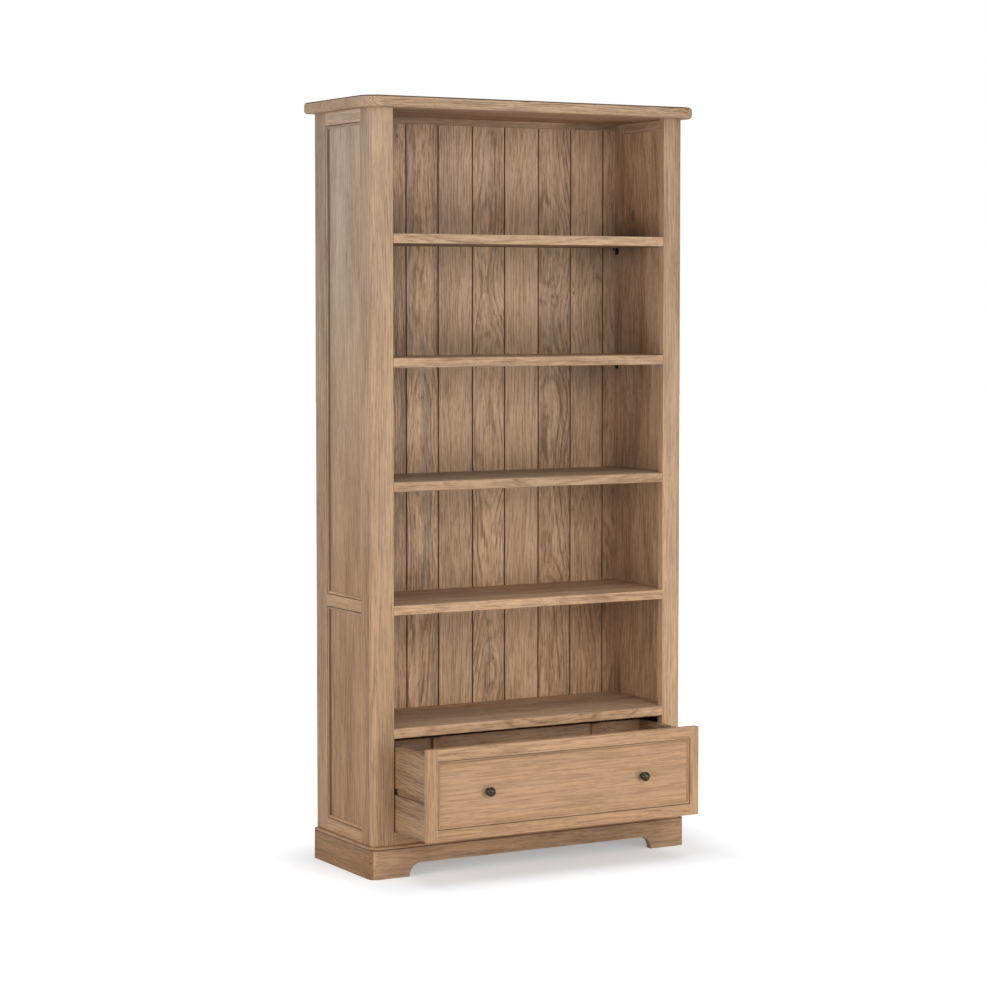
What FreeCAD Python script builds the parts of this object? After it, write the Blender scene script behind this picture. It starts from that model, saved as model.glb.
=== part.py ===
import FreeCAD, Part
import os
from FreeCAD import Vector

# A tall oak bookcase: a plinth, panelled sides, rounded front posts, a boarded back, three loose
# shelves on metal pegs, a fixed shelf, and one drawer that runs on wooden runners.
# Millimetres. X runs to the right, Y from front to back, Z up. Pieces are drawn with the posts'
# front faces at Y = 0, and save() puts the origin on the floor, midway from the knobs to the back.

# Case, outside sizes
overall_height = 2000.0
case_width = 940.0
case_depth = 328.0

# Top board
top_thickness = 30.0
top_overhang = 31.0
top_corner_radius = 52.0
top_edge_radius = 9.0

# Plinth under the case, and the bead that covers its ledge
plinth_height = 76.0
plinth_thickness = 20.0
plinth_projection = 8.0
plinth_corner_radius = 20.0
plinth_edge_round = 1.5
foot_length = 110.0
arch_height = 34.0
arch_radius = 32.0
bead_height = 7.0
bead_projection = 8.8
bead_nose_share = 0.46
corner_block_leg = 45.0
corner_block_height = 40.0

# Front posts
post_width = 62.0
post_thickness = 22.0
post_corner_radius = 20.0
post_edge_round = 1.0

# Side frames, their panels and the beading round each panel
side_thickness = 19.0
front_stile_width = 40.0
rear_stile_width = 64.0
side_top_rail_height = 33.0
side_middle_rail_height = 31.0
middle_rail_rise = 11.0
bottom_rail_height = 41.5
stile_chamfer = 2.5
panel_recess = 5.0
panel_thickness = 13.0
panel_stile_lap = 16.0
panel_rail_lap = 6.0
panel_clearance = 0.5

# Moulded beading, the same on the sides and on the drawer front
beading_width = 8.5
beading_height = 4.2
beading_nose_radius = 3.6
beading_back_radius = 1.2

# Boarded back, tongued and grooved
back_thickness = 10.0
back_rebate = 9.0
back_edge_clearance = 0.5
full_boards_per_side = 4
edge_board_share = 0.466
# The boards differ a little in width: how far some joints lie left of an even spacing
middle_joint_shift = 3.2
inner_joint_shift = 5.6
outer_joint_shift = 1.8
board_gap = 1.2
board_chamfer = 1.4
tongue_thickness = 3.0
tongue_length = 6.0
tongue_clearance = 0.3
cleat_height = 17.0
cleat_thickness = 10.0

# Shelves: equal bays from the drawer deck to the top
shelf_thickness = 25.0
bay_count = 5
loose_shelf_count = 3
shelf_edge_round = 2.0
shelf_gap = 0.8
loose_shelf_clearance = 1.0

# Shelf pegs: an L of plate with a pin that goes into the side
peg_flange_length = 15.0
peg_plate_thickness = 2.5
peg_width = 10.0
peg_drop = 18.0
peg_pin_radius = 2.5
peg_pin_length = 10.0
peg_pin_clearance = 0.05
peg_boss_radius = 4.2
peg_boss_height = 2.0
peg_front_inset = 14.0
peg_rear_inset = 14.0
peg_hole_overdepth = 1.0

# Base panel under the drawer
base_panel_thickness = 9.0

# Drawer opening, drawer front and box
drawer_opening_height = 241.5
drawer_open = 183.0
drawer_side_gap = 1.5
drawer_gap_below = 2.0
drawer_gap_above = 4.0
drawer_front_thickness = 20.0
drawer_rail_height = 30.0
drawer_stile_width = 27.0
drawer_front_edge_round = 1.5
drawer_panel_thickness = 9.0
drawer_panel_groove = 6.0
drawer_box_inset = 1.5
drawer_side_thickness = 14.0
drawer_box_drop = 16.0
drawer_back_thickness = 12.0
drawer_rear_gap = 36.0
drawer_bottom_rise = 11.5
drawer_bottom_thickness = 6.0
drawer_bottom_groove = 5.0
drawer_bottom_clearance = 0.2
drawer_edge_round = 0.8
batten_width = 20.0
batten_thickness = 12.0
batten_offset = 244.0

# Drawer runners: a batten on the case side with a tongue that fits the drawer side's groove
runner_groove_rise = 94.0
runner_groove_height = 17.5
runner_groove_depth = 7.0
runner_clearance = 0.3
runner_tip_clearance = 0.5
runner_batten_gap = 4.0
runner_batten_height = 55.0
runner_rear_gap = 18.0

# Knobs and their screws
knob_offset = 232.0
knob_projection = 25.0
knob_base_radius = 8.5
knob_base_height = 3.0
knob_neck_radius = 5.5
knob_head_radius = 12.0
knob_rim_radius = 5.0
knob_crown_rise = 7.0
screw_radius = 2.0
screw_hole_radius = 2.3
screw_thread_clearance = 0.05
screw_depth_in_knob = 12.0
screw_hole_overdepth = 1.0
screw_head_radius = 4.5
screw_head_height = 2.5

# One overrun lets every cut pass right through
overrun = 5.0
snap = 0.01

# Places that follow from the sizes above
case_top = overall_height - top_thickness
half_case = case_width / 2
half_inside = half_case - side_thickness
half_opening = half_case - post_width
back_front = case_depth - back_thickness
bottom_rail_top = plinth_height + bottom_rail_height
deck_bottom = bottom_rail_top + drawer_opening_height
deck_top = deck_bottom + shelf_thickness
bay_pitch = (case_top - deck_top) / bay_count
fixed_shelf_top = deck_top + bay_pitch
side_opening_front = post_thickness + front_stile_width
side_opening_rear = case_depth - rear_stile_width
side_opening_top = case_top - side_top_rail_height
middle_rail_top = fixed_shelf_top + middle_rail_rise
middle_rail_low = middle_rail_top - side_middle_rail_height
half_drawer = half_opening - drawer_side_gap
half_box = half_drawer - drawer_box_inset
drawer_low = bottom_rail_top + drawer_gap_below
drawer_high = deck_bottom - drawer_gap_above
drawer_middle = (drawer_low + drawer_high) / 2
box_top = drawer_high - drawer_box_drop
drawer_depth = back_front - drawer_rear_gap
drawer_bottom_low = drawer_low + drawer_bottom_rise
drawer_bottom_high = drawer_bottom_low + drawer_bottom_thickness
knob_reach = knob_projection - panel_recess
front_y = (drawer_open + knob_reach - case_depth) / 2


def save(node, shape):
    """Put a piece in the part's own frame and write it to its file."""
    placed = shape.copy()
    placed.translate(Vector(0, front_y, 0))
    placed.exportStep("parts/" + node + ".step")


def save_open(node, shape):
    """The same for a piece of the drawer, which stands open."""
    pulled = shape.copy()
    pulled.translate(Vector(0, -drawer_open, 0))
    save(node, pulled)


def block(x, y, z):
    """A box between a low and a high place on each axis."""
    corner = Vector(x[0], y[0], z[0])
    return Part.makeBox(x[1] - x[0], y[1] - y[0], z[1] - z[0], corner)


def mirrored(shape):
    """The same piece on the other side of the case."""
    return shape.mirror(Vector(0, 0, 0), Vector(1, 0, 0))


def both_sides(shape):
    """A piece and its mirror image, as one group."""
    return Part.makeCompound([shape, mirrored(shape)])


def lies_at(low, high, place):
    """True where both ends of a span are at one place, or no place is asked for."""
    if place is None:
        return True
    return abs(low - place) < snap and abs(high - place) < snap


def edges_at(shape, x=None, y=None, z=None):
    """The edges of a shape that lie wholly at the given places."""
    found = []
    for edge in shape.Edges:
        span = edge.BoundBox
        fits_x = lies_at(span.XMin, span.XMax, x)
        fits_y = lies_at(span.YMin, span.YMax, y)
        fits_z = lies_at(span.ZMin, span.ZMax, z)
        if fits_x and fits_y and fits_z:
            found.append(edge)
    return found


def prism(points, height):
    """A flat outline of points, raised by a height along Z."""
    outline = Part.makePolygon(points + [points[0]])
    return Part.Face(outline).extrude(Vector(0, 0, height))


def beading_ring(x, z):
    """A moulding round an opening in the XZ plane, its back at Y = 0 and its nose towards -Y."""
    ring = block(x, (-beading_height, 0), z)
    hole_x = (x[0] + beading_width, x[1] - beading_width)
    hole_z = (z[0] + beading_width, z[1] - beading_width)
    ring = ring.cut(block(hole_x, (-beading_height - overrun, overrun), hole_z))
    inner = []
    outer = []
    for edge in edges_at(ring, y=-beading_height):
        middle = edge.BoundBox.Center
        beside_x = min(abs(middle.x - x[0]), abs(middle.x - x[1]))
        beside_z = min(abs(middle.z - z[0]), abs(middle.z - z[1]))
        if min(beside_x, beside_z) < snap:
            outer.append(edge)
        else:
            inner.append(edge)
    ring = ring.makeFillet(beading_nose_radius, inner)
    return ring.makeFillet(beading_back_radius, edges_matching(ring, outer))


def edges_matching(shape, old_edges):
    """The edges of a changed shape that still share their middle with the old ones."""
    found = []
    for edge in shape.Edges:
        for old in old_edges:
            if edge.BoundBox.Center.distanceToPoint(old.BoundBox.Center) < snap:
                found.append(edge)
    return found


# Plan wedge in front of both 45 degree corner joints, for the plinth and its bead
wedge_reach = half_case + plinth_projection + overrun
wedge_front = half_case - wedge_reach
wedge_points = [
    Vector(-wedge_reach, wedge_front, -overrun),
    Vector(-half_case + plinth_thickness, plinth_thickness, -overrun),
    Vector(half_case - plinth_thickness, plinth_thickness, -overrun),
    Vector(wedge_reach, wedge_front, -overrun),
]
corner_wedge = prism(wedge_points, plinth_height + bead_height + overrun + overrun)


def make_top_board():
    """The top: rounded front corners, and softened edges at the front and both ends."""
    half = half_case + top_overhang
    top = block((-half, half), (-top_overhang, case_depth), (case_top, overall_height))
    front_corners = edges_at(top, x=-half, y=-top_overhang) + edges_at(top, x=half, y=-top_overhang)
    top = top.makeFillet(top_corner_radius, front_corners)
    rims = []
    for edge in edges_at(top, z=case_top) + edges_at(top, z=overall_height):
        if not lies_at(edge.BoundBox.YMin, edge.BoundBox.YMax, case_depth):
            rims.append(edge)
    return top.makeFillet(top_edge_radius, rims)


def u_ring(outer_offset, outer_radius, inner_offset, inner_radius, z):
    """A band round the front and both sides, measured out from the case's faces."""
    outer_half = half_case + outer_offset
    outer = block((-outer_half, outer_half), (-outer_offset, case_depth), z)
    corners = edges_at(outer, x=-outer_half, y=-outer_offset)
    corners += edges_at(outer, x=outer_half, y=-outer_offset)
    outer = outer.makeFillet(outer_radius, corners)
    inner_half = half_case + inner_offset
    tall = (z[0] - overrun, z[1] + overrun)
    inner = block((-inner_half, inner_half), (-inner_offset, case_depth + overrun), tall)
    if inner_radius > 0:
        corners = edges_at(inner, x=-inner_half, y=-inner_offset)
        corners += edges_at(inner, x=inner_half, y=-inner_offset)
        inner = inner.makeFillet(inner_radius, corners)
    return outer.cut(inner)


def outer_rim(shape, offset, z):
    """The edges round the outside of such a band, at one height."""
    half = half_case + offset
    rim = []
    for edge in edges_at(shape, z=z):
        span = edge.BoundBox
        at_side = lies_at(span.XMin, span.XMax, -half) or lies_at(span.XMin, span.XMax, half)
        at_front = span.YMin < -offset + snap
        if at_side or at_front:
            rim.append(edge)
    return rim


def make_plinth():
    """The plinth's front and side boards, joined at 45 degrees, and the board at the back."""
    inset = plinth_projection - plinth_thickness
    ring = u_ring(plinth_projection, plinth_corner_radius, inset, 0, (0, plinth_height))
    ring = ring.makeFillet(plinth_edge_round, outer_rim(ring, plinth_projection, plinth_height))
    front = ring.common(corner_wedge).cut(arch_cut())
    sides = ring.cut(corner_wedge)
    inner_half = half_case + inset
    rear_y = (case_depth - plinth_thickness, case_depth)
    rear = block((-inner_half, inner_half), rear_y, (0, plinth_height))
    return front, sides, rear


def arch_cut():
    """The long low arch in the plinth's front board, with a round at each end."""
    half = half_case + plinth_projection - foot_length
    straight = half - arch_radius
    spring = arch_height - arch_radius
    near_y = -plinth_projection - overrun
    slant = arch_radius / 2 ** 0.5
    left_middle = Vector(-straight - slant, near_y, spring + slant)
    right_middle = Vector(straight + slant, near_y, spring + slant)
    foot_left = Vector(-half, near_y, -overrun)
    spring_left = Vector(-half, near_y, spring)
    crown_left = Vector(-straight, near_y, arch_height)
    crown_right = Vector(straight, near_y, arch_height)
    spring_right = Vector(half, near_y, spring)
    foot_right = Vector(half, near_y, -overrun)
    edges = [
        Part.makeLine(foot_left, spring_left),
        Part.Arc(spring_left, left_middle, crown_left).toShape(),
        Part.makeLine(crown_left, crown_right),
        Part.Arc(crown_right, right_middle, spring_right).toShape(),
        Part.makeLine(spring_right, foot_right),
        Part.makeLine(foot_right, foot_left),
    ]
    depth = plinth_thickness + overrun + overrun
    return Part.Face(Part.Wire(edges)).extrude(Vector(0, depth, 0))


def make_plinth_bead():
    """The round-nosed bead on the plinth's ledge: three lengths, joined at 45 degrees."""
    z = (plinth_height, plinth_height + bead_height)
    outer_radius = post_corner_radius + bead_projection
    bead = u_ring(bead_projection, outer_radius, 0, post_corner_radius, z)
    rims = outer_rim(bead, bead_projection, z[0]) + outer_rim(bead, bead_projection, z[1])
    bead = bead.makeFillet(bead_height * bead_nose_share, rims)
    return Part.makeCompound(bead.common(corner_wedge).Solids + bead.cut(corner_wedge).Solids)


def make_corner_blocks():
    """Glue blocks in the plinth's four inner corners, which also carry the base panel."""
    x = -half_case - plinth_projection + plinth_thickness
    front = plinth_thickness - plinth_projection
    rear = case_depth - plinth_thickness
    low = plinth_height - corner_block_height
    blocks = []
    for y, leg in ((front, corner_block_leg), (rear, -corner_block_leg)):
        points = [Vector(x, y, low), Vector(x + corner_block_leg, y, low), Vector(x, y + leg, low)]
        left = prism(points, corner_block_height)
        blocks += [left, mirrored(left)]
    return Part.makeCompound(blocks)


def make_post():
    """Left front post, its outer corner well rounded, the other long edges just eased."""
    x = (-half_case, -half_opening)
    post = block(x, (0, post_thickness), (plinth_height, case_top))
    post = post.makeFillet(post_corner_radius, edges_at(post, x=x[0], y=0))
    eased = edges_at(post, x=x[1], y=0) + edges_at(post, x=x[0], y=post_thickness)
    return post.makeFillet(post_edge_round, eased)


def peg_places():
    """Front-to-back place and shelf underside for each peg on one side."""
    front = post_thickness + peg_front_inset
    rear = back_front - peg_rear_inset
    places = []
    for shelf in range(1, loose_shelf_count + 1):
        underside = case_top - shelf * bay_pitch - shelf_thickness
        places += [(front, underside), (rear, underside)]
    return places


def make_side_frame():
    """The whole left side frame as one blank, with openings, rebates and peg holes."""
    x = (-half_case, -half_inside)
    frame = block(x, (post_thickness, case_depth), (plinth_height, case_top))
    frame = frame.makeChamfer(stile_chamfer, edges_at(frame, x=x[0], y=post_thickness))
    through = (x[0] - overrun, x[1] + overrun)
    rebate_x = (x[0] + panel_recess, x[1] + overrun)
    for z in side_openings():
        opening_y = (side_opening_front, side_opening_rear)
        rebate_y = (opening_y[0] - panel_stile_lap, opening_y[1] + panel_stile_lap)
        rebate_z = (z[0] - panel_rail_lap, z[1] + panel_rail_lap)
        frame = frame.cut(block(through, opening_y, z))
        frame = frame.cut(block(rebate_x, rebate_y, rebate_z))
    back_x = (-half_inside - back_rebate, -half_inside + overrun)
    tall = (plinth_height - overrun, case_top + overrun)
    frame = frame.cut(block(back_x, (back_front, case_depth + overrun), tall))
    hole_radius = peg_pin_radius + peg_pin_clearance
    hole_depth = peg_pin_length + peg_hole_overdepth
    for y, underside in peg_places():
        mouth = Vector(-half_inside + overrun, y, underside - peg_drop / 2)
        frame = frame.cut(Part.makeCylinder(hole_radius, hole_depth + overrun, mouth, Vector(-1, 0, 0)))
    return frame


def side_openings():
    """Low and high edge of the lower and the upper panel opening."""
    return [(bottom_rail_top, middle_rail_low), (middle_rail_top, side_opening_top)]


def make_side_members():
    """The left side frame split into its two stiles and three rails."""
    frame = make_side_frame()
    full_x = (-half_case - overrun, -half_inside + overrun)
    full_z = (plinth_height - overrun, case_top + overrun)
    rails_y = (side_opening_front, side_opening_rear)
    spans = {
        "front_stile": ((post_thickness - overrun, side_opening_front), full_z),
        "rear_stile": ((side_opening_rear, case_depth + overrun), full_z),
        "top_rail": (rails_y, (side_opening_top, case_top + overrun)),
        "middle_rail": (rails_y, (middle_rail_low, middle_rail_top)),
        "bottom_rail": (rails_y, (plinth_height - overrun, bottom_rail_top)),
    }
    members = {}
    for name, (y, z) in spans.items():
        members[name] = frame.common(block(full_x, y, z))
    return members


def make_side_panel(z):
    """A left side panel, held in the frame's rebate from inside."""
    outer = -half_case + panel_recess
    lap_y = panel_stile_lap - panel_clearance
    lap_z = panel_rail_lap - panel_clearance
    y = (side_opening_front - lap_y, side_opening_rear + lap_y)
    return block((outer, outer + panel_thickness), y, (z[0] - lap_z, z[1] + lap_z))


def make_side_beading():
    """The beading round both left panels, turned to face out of the case's side."""
    rings = []
    for z in side_openings():
        ring = beading_ring((-side_opening_rear, -side_opening_front), z)
        ring.rotate(Vector(0, 0, 0), Vector(0, 0, 1), -90)
        ring.translate(Vector(-half_case + panel_recess, 0, 0))
        rings.append(ring)
    return Part.makeCompound(rings)


def back_joints():
    """Where the boards of the back meet, from left to right, with both outer edges."""
    half_back = half_inside + back_rebate - back_edge_clearance
    pitch = half_back / (full_boards_per_side + edge_board_share)
    shifts = {-1: inner_joint_shift, 0: middle_joint_shift, 1: inner_joint_shift}
    shifts.update({2: outer_joint_shift, 3: outer_joint_shift})
    joints = [-half_back]
    for step in range(-full_boards_per_side, full_boards_per_side + 1):
        joints.append(step * pitch - shifts.get(step, 0))
    joints.append(half_back)
    return joints


def make_back_board(left, right, grooved, tongued):
    """One board: a groove in its left edge, a tongue on its right, eased front edges."""
    tall = (plinth_height, case_top)
    low_x = left + board_gap / 2 if grooved else left
    high_x = right - board_gap / 2 if tongued else right
    board = block((low_x, high_x), (back_front, case_depth), tall)
    eased = []
    if grooved:
        eased += edges_at(board, x=low_x, y=back_front)
    if tongued:
        eased += edges_at(board, x=high_x, y=back_front)
    board = board.makeChamfer(board_chamfer, eased)
    tongue_y = back_front + (back_thickness - tongue_thickness) / 2
    if grooved:
        groove_x = (low_x - overrun, low_x + tongue_length - board_gap + tongue_clearance)
        groove_y = (tongue_y - tongue_clearance, tongue_y + tongue_thickness + tongue_clearance)
        board = board.cut(block(groove_x, groove_y, (tall[0] - overrun, tall[1] + overrun)))
    if tongued:
        tongue_x = (high_x, high_x + tongue_length)
        tongue = block(tongue_x, (tongue_y, tongue_y + tongue_thickness), tall)
        board = board.fuse(tongue).removeSplitter()
    return board


def make_shelf(top, gap, side_clearance, rear_clearance):
    """A shelf notched round both posts, its front edge flush with them."""
    front_half = half_opening - gap
    rear_half = half_inside - side_clearance
    notch_y = post_thickness + side_clearance
    rear_y = back_front - rear_clearance
    low = top - shelf_thickness
    shelf = block((-front_half, front_half), (0, notch_y), (low, top))
    shelf = shelf.fuse(block((-rear_half, rear_half), (notch_y, rear_y), (low, top)))
    shelf = shelf.removeSplitter()
    rims = edges_at(shelf, y=0, z=low) + edges_at(shelf, y=0, z=top)
    return shelf.makeFillet(shelf_edge_round, rims)


def make_peg(y, underside):
    """A left shelf peg: flange under the shelf, plate and boss on the side, pin in its hole."""
    x = -half_inside
    half_width = peg_width / 2
    straight = peg_flange_length - half_width
    flange_low = underside - peg_plate_thickness
    flange = block((x, x + straight), (y - half_width, y + half_width), (flange_low, underside))
    tip = Vector(x + straight, y, flange_low)
    flange = flange.fuse(Part.makeCylinder(half_width, peg_plate_thickness, tip))
    plate_x = (x, x + peg_plate_thickness)
    round_centre = underside - peg_drop + half_width
    plate = block(plate_x, (y - half_width, y + half_width), (round_centre, underside))
    foot = Vector(x, y, round_centre)
    plate = plate.fuse(Part.makeCylinder(half_width, peg_plate_thickness, foot, Vector(1, 0, 0)))
    pin_z = underside - peg_drop / 2
    pin_start = Vector(x - peg_pin_length, y, pin_z)
    pin_run = peg_pin_length + peg_plate_thickness
    pin = Part.makeCylinder(peg_pin_radius, pin_run, pin_start, Vector(1, 0, 0))
    boss_start = Vector(x, y, pin_z)
    boss_run = peg_plate_thickness + peg_boss_height
    boss = Part.makeCylinder(peg_boss_radius, boss_run, boss_start, Vector(1, 0, 0))
    return flange.fuse([plate, pin, boss]).removeSplitter()


def make_pegs():
    """The pegs under the three loose shelves, on both sides."""
    pegs = []
    for y, underside in peg_places():
        left = make_peg(y, underside)
        pegs += [left, mirrored(left)]
    return Part.makeCompound(pegs)


def make_drawer_front_members():
    """The drawer front's frame, grooved for its panel, split into stiles and rails."""
    x = (-half_drawer, half_drawer)
    z = (drawer_low, drawer_high)
    frame = block(x, (0, drawer_front_thickness), z)
    frame = frame.makeFillet(drawer_front_edge_round, edges_at(frame, y=0))
    opening_x, opening_z = drawer_opening()
    through = (-overrun, drawer_front_thickness + overrun)
    frame = frame.cut(block(opening_x, through, opening_z))
    groove_x = (opening_x[0] - drawer_panel_groove, opening_x[1] + drawer_panel_groove)
    groove_z = (opening_z[0] - drawer_panel_groove, opening_z[1] + drawer_panel_groove)
    frame = frame.cut(block(groove_x, drawer_panel_span(), groove_z))
    bottom_x = (-half_box + drawer_side_thickness - drawer_bottom_groove,
                half_box - drawer_side_thickness + drawer_bottom_groove)
    bottom_y = (drawer_front_thickness - drawer_bottom_groove, drawer_front_thickness + overrun)
    bottom_z = (drawer_bottom_low - drawer_bottom_clearance, drawer_bottom_high + drawer_bottom_clearance)
    frame = frame.cut(block(bottom_x, bottom_y, bottom_z))
    wide = (x[0] - overrun, x[1] + overrun)
    tall = (z[0] - overrun, z[1] + overrun)
    spans = {
        "drawer_front_stile_left": ((wide[0], opening_x[0]), tall),
        "drawer_front_stile_right": ((opening_x[1], wide[1]), tall),
        "drawer_front_top_rail": (opening_x, (opening_z[1], tall[1])),
        "drawer_front_bottom_rail": (opening_x, (tall[0], opening_z[0])),
    }
    members = {}
    for name, (span_x, span_z) in spans.items():
        members[name] = frame.common(block(span_x, through, span_z))
    return members


def drawer_opening():
    """Width and height of the opening in the drawer front's frame."""
    half = half_drawer - drawer_stile_width
    return (-half, half), (drawer_low + drawer_rail_height, drawer_high - drawer_rail_height)


def drawer_panel_span():
    """Front and back of the drawer's panel, which the frame's groove holds."""
    return (panel_recess, panel_recess + drawer_panel_thickness)


def make_drawer_panel():
    """The drawer front's panel, with a clearance hole for each knob's screw."""
    opening_x, opening_z = drawer_opening()
    lap = drawer_panel_groove - panel_clearance
    x = (opening_x[0] - lap, opening_x[1] + lap)
    z = (opening_z[0] - lap, opening_z[1] + lap)
    panel = block(x, drawer_panel_span(), z)
    for side in (-1, 1):
        start = Vector(side * knob_offset, -overrun, drawer_middle)
        run = drawer_front_thickness + overrun + overrun
        panel = panel.cut(Part.makeCylinder(screw_hole_radius, run, start, Vector(0, 1, 0)))
    return panel


def make_drawer_beading():
    """The beading round the drawer front's panel."""
    opening_x, opening_z = drawer_opening()
    ring = beading_ring(opening_x, opening_z)
    ring.translate(Vector(0, panel_recess, 0))
    return ring


def make_drawer_side():
    """Left side of the drawer box: runner groove outside, bottom groove inside."""
    x = (-half_box, -half_box + drawer_side_thickness)
    y = (drawer_front_thickness, drawer_depth)
    side = block(x, y, (drawer_low, box_top))
    top_edges = edges_at(side, x=x[0], z=box_top) + edges_at(side, x=x[1], z=box_top)
    side = side.makeFillet(drawer_edge_round, top_edges)
    through = (y[0] - overrun, y[1] + overrun)
    groove_low = drawer_low + runner_groove_rise
    groove_x = (x[0] - overrun, x[0] + runner_groove_depth)
    side = side.cut(block(groove_x, through, (groove_low, groove_low + runner_groove_height)))
    bottom_x = (x[1] - drawer_bottom_groove, x[1] + overrun)
    bottom_z = (drawer_bottom_low - drawer_bottom_clearance, drawer_bottom_high + drawer_bottom_clearance)
    return side.cut(block(bottom_x, through, bottom_z))


def make_drawer_bottom():
    """The drawer's bottom, held in the grooves of the front and both sides."""
    half = half_box - drawer_side_thickness + drawer_bottom_groove - panel_clearance
    y = (drawer_front_thickness - drawer_bottom_groove + panel_clearance, drawer_depth)
    return block((-half, half), y, (drawer_bottom_low, drawer_bottom_high))


def make_drawer_back():
    """The drawer's back, between the sides and on top of the bottom."""
    half = half_box - drawer_side_thickness
    y = (drawer_depth - drawer_back_thickness, drawer_depth)
    back = block((-half, half), y, (drawer_bottom_high, box_top))
    rims = edges_at(back, y=y[0], z=box_top) + edges_at(back, y=y[1], z=box_top)
    return back.makeFillet(drawer_edge_round, rims)


def make_drawer_battens():
    """Two upright battens on the inside of the drawer's back."""
    rear = drawer_depth - drawer_back_thickness
    half_width = batten_width / 2
    x = (-batten_offset - half_width, -batten_offset + half_width)
    batten = block(x, (rear - batten_thickness, rear), (drawer_bottom_high, box_top))
    corners = edges_at(batten, x=x[0], y=rear - batten_thickness)
    corners += edges_at(batten, x=x[1], y=rear - batten_thickness)
    return both_sides(batten.makeFillet(drawer_edge_round, corners))


def make_runner():
    """Left runner: a batten on the case side, and the tongue that carries the drawer."""
    face = -half_box - runner_batten_gap
    groove_low = drawer_low + runner_groove_rise
    groove_high = groove_low + runner_groove_height
    middle = (groove_low + groove_high) / 2
    batten_z = (middle - runner_batten_height / 2, middle + runner_batten_height / 2)
    rear = back_front - runner_rear_gap
    runner = block((-half_inside, face), (post_thickness, rear), batten_z)
    tip = -half_box + runner_groove_depth - runner_tip_clearance
    tongue_z = (groove_low + runner_clearance, groove_high - runner_clearance)
    tongue = block((face, tip), (post_thickness, rear), tongue_z)
    nose_y = (drawer_front_thickness + runner_clearance, post_thickness)
    nose = block((-half_opening + shelf_gap, tip), nose_y, tongue_z)
    return runner.fuse([tongue, nose]).removeSplitter()


def knob_head_edges():
    """The head's outline from its underside: a round rim, then a shallow dome without a corner."""
    rim_x = knob_head_radius - knob_rim_radius
    rim_height = knob_projection - knob_crown_rise
    reach = rim_x ** 2 + knob_crown_rise ** 2 - knob_rim_radius ** 2
    dome_radius = reach / (2 * (knob_crown_rise - knob_rim_radius))
    dome_centre = Vector(0, 0, knob_projection - dome_radius)
    rim_centre = Vector(rim_x, 0, rim_height)
    along = (rim_centre - dome_centre).normalize()
    down_and_out = Vector(1, 0, -1).normalize()
    underside = Vector(rim_x, 0, rim_height - knob_rim_radius)
    rim_low = rim_centre + down_and_out * knob_rim_radius
    rim_middle = Vector(knob_head_radius, 0, rim_height)
    rim_high = rim_centre + (along + Vector(1, 0, 0)).normalize() * knob_rim_radius
    meet = dome_centre + along * dome_radius
    dome_middle = dome_centre + (along + Vector(0, 0, 1)).normalize() * dome_radius
    crown = Vector(0, 0, knob_projection)
    return underside, [
        Part.Arc(underside, rim_low, rim_middle).toShape(),
        Part.Arc(rim_middle, rim_high, meet).toShape(),
        Part.Arc(meet, dome_middle, crown).toShape(),
    ]


def make_knob():
    """Left knob, turned: a small rosette, a waisted neck and a flattened ball."""
    underside, head_edges = knob_head_edges()
    rim = knob_base_height / 2
    up_and_out = Vector(1, 0, 1).normalize()
    hole_radius = screw_radius + screw_thread_clearance
    hole_end = screw_depth_in_knob + screw_hole_overdepth
    mouth = Vector(hole_radius, 0, 0)
    base_low = Vector(knob_base_radius, 0, 0)
    base_rim = Vector(knob_base_radius, 0, rim)
    base_middle = Vector(knob_base_radius - rim, 0, rim) + up_and_out * rim
    base_high = Vector(knob_base_radius - rim, 0, knob_base_height)
    waist = Vector(knob_neck_radius, 0, (knob_base_height + underside.z) / 2)
    hole_floor = Vector(0, 0, hole_end)
    hole_corner = Vector(hole_radius, 0, hole_end)
    edges = [
        Part.makeLine(mouth, base_low),
        Part.makeLine(base_low, base_rim),
        Part.Arc(base_rim, base_middle, base_high).toShape(),
        Part.Arc(base_high, waist, underside).toShape(),
    ]
    edges += head_edges
    edges += [
        Part.makeLine(Vector(0, 0, knob_projection), hole_floor),
        Part.makeLine(hole_floor, hole_corner),
        Part.makeLine(hole_corner, mouth),
    ]
    knob = Part.Face(Part.Wire(edges)).revolve(Vector(0, 0, 0), Vector(0, 0, 1), 360)
    knob.rotate(Vector(0, 0, 0), Vector(1, 0, 0), 90)
    knob.translate(Vector(-knob_offset, panel_recess, drawer_middle))
    return knob


def make_screws():
    """A pan-head screw behind each knob, through the panel and into the knob."""
    rear = panel_recess + drawer_panel_thickness
    run = drawer_panel_thickness + screw_depth_in_knob
    shank_end = Vector(-knob_offset, rear - run, drawer_middle)
    head_start = Vector(-knob_offset, rear, drawer_middle)
    shank = Part.makeCylinder(screw_radius, run, shank_end, Vector(0, 1, 0))
    head = Part.makeCylinder(screw_head_radius, screw_head_height, head_start, Vector(0, 1, 0))
    return both_sides(shank.fuse(head).removeSplitter())


def save_pair(name, left):
    """A left piece and its mirror image, each in its own file."""
    save(name + "_left", left)
    save(name + "_right", mirrored(left))


os.makedirs("parts", exist_ok=True)

# Plinth
plinth_front, plinth_sides, plinth_back = make_plinth()
plinth_left, plinth_right = sorted(plinth_sides.Solids, key=lambda solid: solid.BoundBox.XMin)
save("plinth_front", plinth_front.Solids[0])
save("plinth_left", plinth_left)
save("plinth_right", plinth_right)
save("plinth_back", plinth_back)
save("plinth_bead", make_plinth_bead())
save("corner_blocks", make_corner_blocks())
base_span = (post_thickness, back_front)
base_z = (plinth_height, plinth_height + base_panel_thickness)
save("base_panel", block((-half_inside, half_inside), base_span, base_z))

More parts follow.
